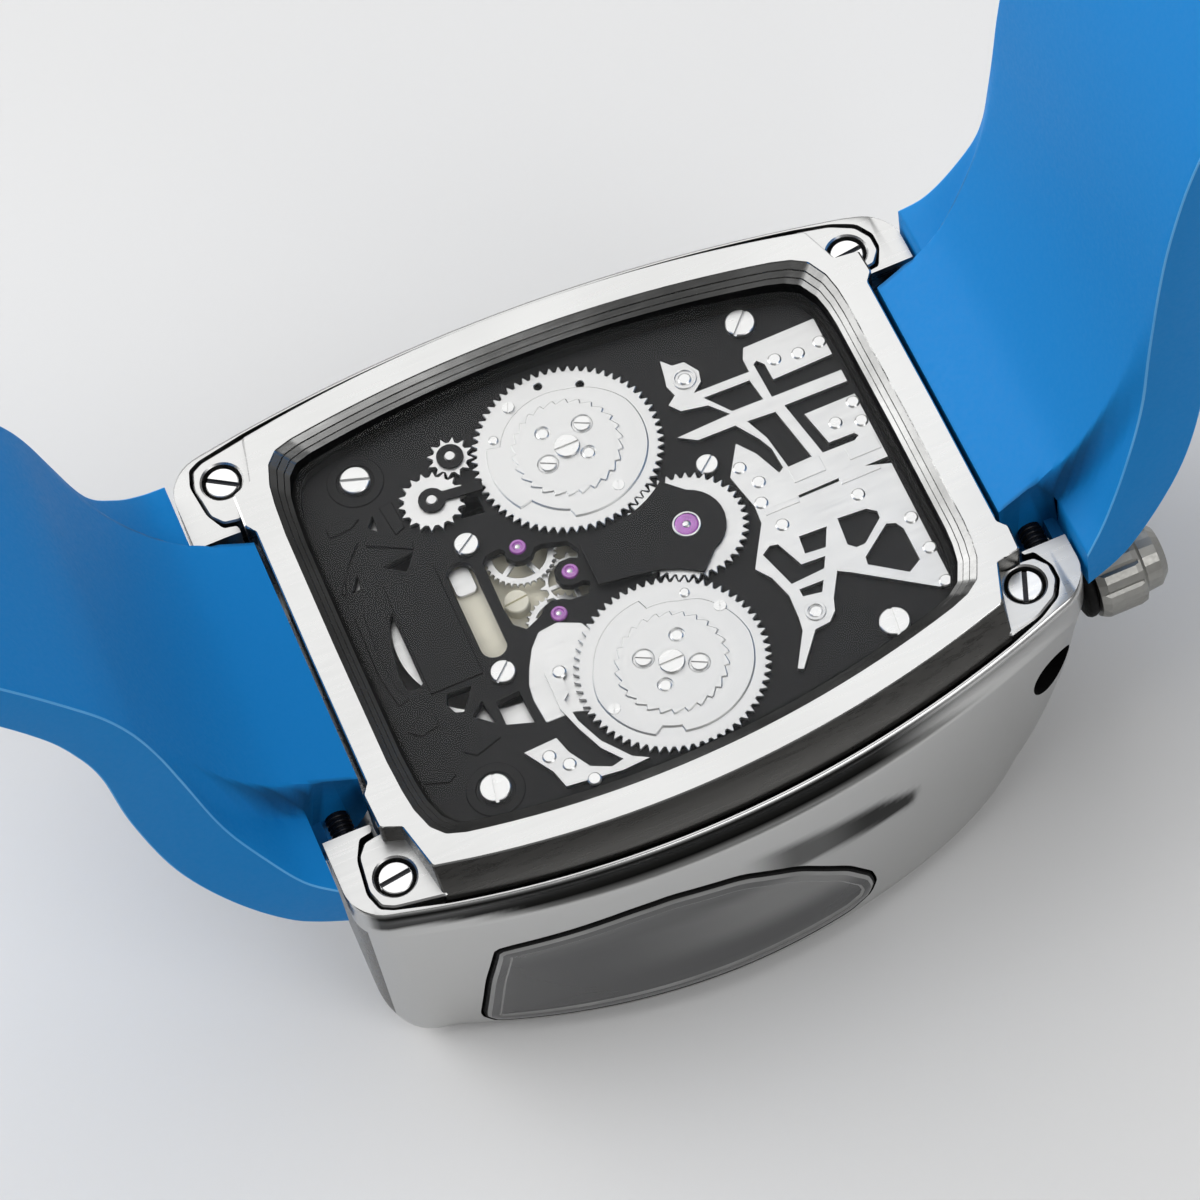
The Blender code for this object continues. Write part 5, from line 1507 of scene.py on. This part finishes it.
def inlays(edge):
    """White pieces in and under the plates: pads as painted highlights, bands, bright plate, second layer,
    rings and stud.
    """
    pads = [plate("pad", circle(*pad, 24), LAYERS["pad"]) for pad in PADS]
    for inner, outer, start, end in BALANCE_BANDS:
        band = arc(*BALANCE, outer, start, end, 24) + arc(*BALANCE, inner, end, start, 24)
        pads.append(plate("pad", band, LAYERS["balance_pad"]))
    pads.append(plate("bright", eased_loop(BRIGHT, 0.3), LAYERS["bright"], (), edge))
    pads += [plate("layer", eased_loop(points, 0.1), LAYERS["layer"], (), 0.02) for points in LAYER]
    for x, y, r in BEARINGS:
        hole = circle(x, y, r - 0.22, 32)
        pads.append(plate("bearing", circle(x, y, r, 32), LAYERS["bearing"], [hole], 0.03))
    stud = plate("stud", rounded(-11.5, -9.95, 1.1, 0.4), LAYERS["stud"], (), 0.05)
    pads.append(moved(stud, Matrix.Translation((0, 3.0, 0))))
    return joined("inlays", *pads)


def train_strip():
    """Strip, base plate and slotted disc under the opening over the train."""
    strip = plate("strip", rounded(-11.9, -9.5, 4.4, 0.6), LAYERS["strip"], (), 0.05)
    base = plate("base", rounded(-9.4, -2.7, 4.3, 0.8), LAYERS["base"])
    disc = plate("disc", circle(-7.95, 0.1, 0.9, 32), LAYERS["disc"], (), 0.08)
    groove = plate("groove", [(-9.5, -0.1), (-5.5, 0.3), (-5.5, 0.45), (-9.5, 0.05)], LAYERS["groove"])
    return joined("strip", strip, base, carved(disc, [groove]))


def fit_jewels():
    """Three small jewels, the large one in its ring, and the pivots in them."""
    ruby, steel = "synthetic_ruby_polished", "steel_screw_lapped"
    dome = turned("jewel", JEWEL_PROFILE, 28, 40)
    spots = [seated(at, JEWEL_SEAT) for at in JEWELS]
    stones = repeated("jewels", dome, spots, ruby, 40)
    fit(link_mesh("jewels_domed", stones), "case", "ruby", "jewel_1", "jewel_2", "jewel_3")
    chaton = plate("chaton", circle(*IDLER, 0.98, 40), LAYERS["chaton"], [circle(*IDLER, 0.84, 40)], 0.03)
    fit(link_mesh("intermediate_chaton_polished", chaton, steel), "case", "nickel")
    dome = turned("stone", LARGE_JEWEL_PROFILE, 32, 40)
    stone = repeated("stone", dome, [seated(IDLER, LARGE_JEWEL_SEAT)], ruby, 40)
    fit(link_mesh("intermediate_jewel_domed", stone), "case", "ruby", "intermediate_jewel")
    spots = [seated(at, PIVOT_SEAT) for at in JEWELS] + [seated(IDLER, LARGE_PIVOT_SEAT)]
    pivots = repeated("pivots", rivet_head(1.0, 0.14), spots, steel, 60)
    fit(link_mesh("pivots_domed", pivots), "case", "nickel")


class WATCH_OT_plates(bpy.types.Operator):
    """Bridge, cocks, skeleton plate, jewels and what lies under them"""
    bl_idname = "watch.plates"
    bl_label = "Plates and jewels"

    def execute(self, context):
        edge = context.scene.watch_works.edge * 1000
        black, white = "black_plated_brass_satin", "rhodium_plated_brass_grained"
        gilt = "pale_gilt_brass_turned"
        fit(link_mesh("bridge_black", bridge(), black), "case", "black_plate", "bridge_plate")
        fit(link_mesh("bridge_inlays", inlays(edge), white), "case", "nickel")
        coat(("intermediate_cock", "setting_cock", "minute_cock", "movement_ring"), black)
        coat(("skeleton_plate", "yoke_plate", "main_plate"), white)
        coat(("train_plate",), gilt)
        fit(link_mesh("train_plate_strip", train_strip(), gilt), "case", "pale_brass")
        fit_jewels()
        coat(("dial",), "dial_lacquer_polished")
        coat(("hour_hand", "minute_hand"), white)
        coat(("front_crystal",), "sapphire_crystal_polished")
        return {"FINISHED"}


RIVETS = (
    (15.16, 9.23), (16.82, 8.97), (18.51, 9.19), (8.95, 10.5), (18.62, 3.74), (16.87, 2.72), (18.54, 2.12),
    (9.57, 2.3), (10.31, 0.72), (9.81, -0.85), (10.41, -3.04), (15.97, -3.12), (18.45, -6.31), (18.62, -8.96),
    (18.54, -11.74), (9.77, -10.17), (-7.5, -6.9), (-10.5, -12.5), (-9.5, -13.6), (-8.4, -15.3),
)
# Turn of each screw's slot.
REAR_SLOTS = (-0.6, 0.13, 0.12, 1.2)
BRIDGE_SLOTS = (-0.35, 1.35, 0.84, 1.45, 0.6, 0.75, 0.7)
REAR_SEAT, BRIDGE_SEAT, RIVET_SEAT = 17.75, 17.62, 17.95


class WATCH_OT_fasteners(bpy.types.Operator):
    """Slotted screws of the cover and bridge, and the rivets of the skeleton plate"""
    bl_idname = "watch.fasteners"
    bl_label = "Screws and rivets"

    def execute(self, context):
        steel = "steel_screw_lapped"
        spots = [((x, y, REAR_SEAT), (0, 0, turn), 1.0) for (x, y), turn in zip(REAR_SCREWS, REAR_SLOTS)]
        heads = repeated("rear_screws", screw_head(*REAR_HEAD), spots, steel)
        nodes = [f"rear_screw_{n + 1}" for n in range(len(REAR_SCREWS))]
        fit(link_mesh("rear_screws_slotted", heads), "case", "steel", *nodes)
        # Black bars on the floors of the rear screw slots: painted shade.
        shade = plate("slot_floor", box_plan(-1.1, 1.1, 0.175), (0.3, 0.5))
        floors = repeated("slot_floors", shade, spots, "spring_steel_blackened_and_slot_shade")
        fit(link_mesh("rear_screw_slots_blackened", floors), "case", "steel")
        turns = zip(BRIDGE_SCREWS, BRIDGE_SLOTS)
        spots = [((x, y, BRIDGE_SEAT), (0, 0, turn), r) for (x, y, r), turn in turns]
        heads = repeated("bridge_screws", screw_head(*BRIDGE_HEAD), spots, steel)
        nodes = [f"bridge_screw_{n + 1}" for n in range(len(BRIDGE_SCREWS))]
        fit(link_mesh("bridge_screws_slotted", heads), "case", "nickel", *nodes)
        r = context.scene.watch_works.rivet * 1000
        flat = turned("rivet", [(0, -0.1), (r, -0.1), (r, 0.02), (r - 0.1, 0.1), (0, 0.1)], 24, 30)
        spots = [seated(at, (RIVET_SEAT, 1.0)) for at in RIVETS]
        fit(link_mesh("rivets_flat", repeated("rivets", flat, spots, steel)), "case", "nickel")
        return {"FINISHED"}


SEAL_PROFILE = [
    (0, 27.12), (2.1, 27.12), (2.4, 27.22), (2.52, 27.42), (2.52, 27.7), (2.4, 27.9), (2.1, 28.0), (0, 28.0),
]
SEAL_BORE_R = 0.8
COIL_R, COIL_WIRE, COIL_PITCH, COIL_START, COIL_TURNS = 0.74, 0.13, 0.38, 10.2, 5


def crown_seal():
    seal = turned("seal", SEAL_PROFILE, 40, 60)
    bore = plate("stem_hole", circle(0, 0, SEAL_BORE_R, 24), (27, 28.2))
    return moved(carved(seal, [bore], 60), STEM)


def coil_turn():
    """One closed turn of a spring coil about Z."""
    loops = []
    for a in (math.pi * i / 8 for i in range(16)):
        loop = []
        for b in (math.pi * k / 3 for k in range(6)):
            r = COIL_R + COIL_WIRE * math.cos(b)
            loop.append((r * math.cos(a), r * math.sin(a), COIL_WIRE * math.sin(b)))
        loops.append(loop)
    return loft("turn", loops, ring=True, angle=80)


class WATCH_OT_crown(bpy.types.Operator):
    """Crown, its seal and tube, and the two spring bars"""
    bl_idname = "watch.crown"
    bl_label = "Crown and spring bars"

    def execute(self, context):
        black = "spring_steel_blackened_and_slot_shade"
        seal = link_mesh("crown_gasket_moulded", crown_seal(), "nitrile_seal_and_painted_gap_shade")
        fit(seal, "crown_sleeve", "black_seal", "crown_gasket")
        coat(("crown_tube", "crown"), "stainless_steel_bead_blasted")
        coat(tuple(BARS), black)
        for name, (x, z) in BARS.items():
            spots = []
            for side in (-1, 1):
                for k in range(COIL_TURNS):
                    spots.append(((x, side * (COIL_START + COIL_PITCH * k), z), (math.pi / 2, 0, 0), 1.0))
            coil = repeated("coil", coil_turn(), spots, black, 80)
            fit(link_mesh(name + "_coil", coil), "case", "steel")
        return {"FINISHED"}


class WATCH_OT_buckle(bpy.types.Operator):
    """Buckle frame, pin and prong"""
    bl_idname = "watch.buckle"
    bl_label = "Buckle"

    def execute(self, context):
        coat(("buckle_frame", "buckle_pin", "buckle_prong"), "stainless_steel_polished")
        return {"FINISHED"}


class WATCH_PT_panel(bpy.types.Panel):
    """Lists the pieces of the watch"""
    bl_label = "Watch"
    bl_idname = "WATCH_PT_panel"
    bl_space_type = "VIEW_3D"
    bl_region_type = "UI"
    bl_category = "Watch"

    def draw(self, context):
        for group in LOOKS:
            look = getattr(context.scene, group)
            for key in look.__annotations__:
                self.layout.prop(look, key)
        for maker in MAKERS:
            self.layout.operator(maker.bl_idname)


LOOKS = {
    "watch_case": WatchCaseLook, "watch_works": WatchWorksLook,
    "watch_strap": WatchStrapLook, "watch_stage": WatchStageLook,
}
MAKERS = (
    WATCH_OT_stage, WATCH_OT_straps, WATCH_OT_case, WATCH_OT_cover, WATCH_OT_plates,
    WATCH_OT_wheels, WATCH_OT_fasteners, WATCH_OT_crown, WATCH_OT_buckle,
)


def register():
    for made in (*LOOKS.values(), *MAKERS, WATCH_PT_panel):
        bpy.utils.register_class(made)
    for name, group in LOOKS.items():
        setattr(bpy.types.Scene, name, bpy.props.PointerProperty(type=group))


def unregister():
    for name in LOOKS:
        delattr(bpy.types.Scene, name)
    for made in reversed((*LOOKS.values(), *MAKERS, WATCH_PT_panel)):
        bpy.utils.unregister_class(made)


def main():
    register()
    for maker in MAKERS:
        group, name = maker.bl_idname.split(".")
        getattr(getattr(bpy.ops, group), name)()


if __name__ == "__main__":
    main()
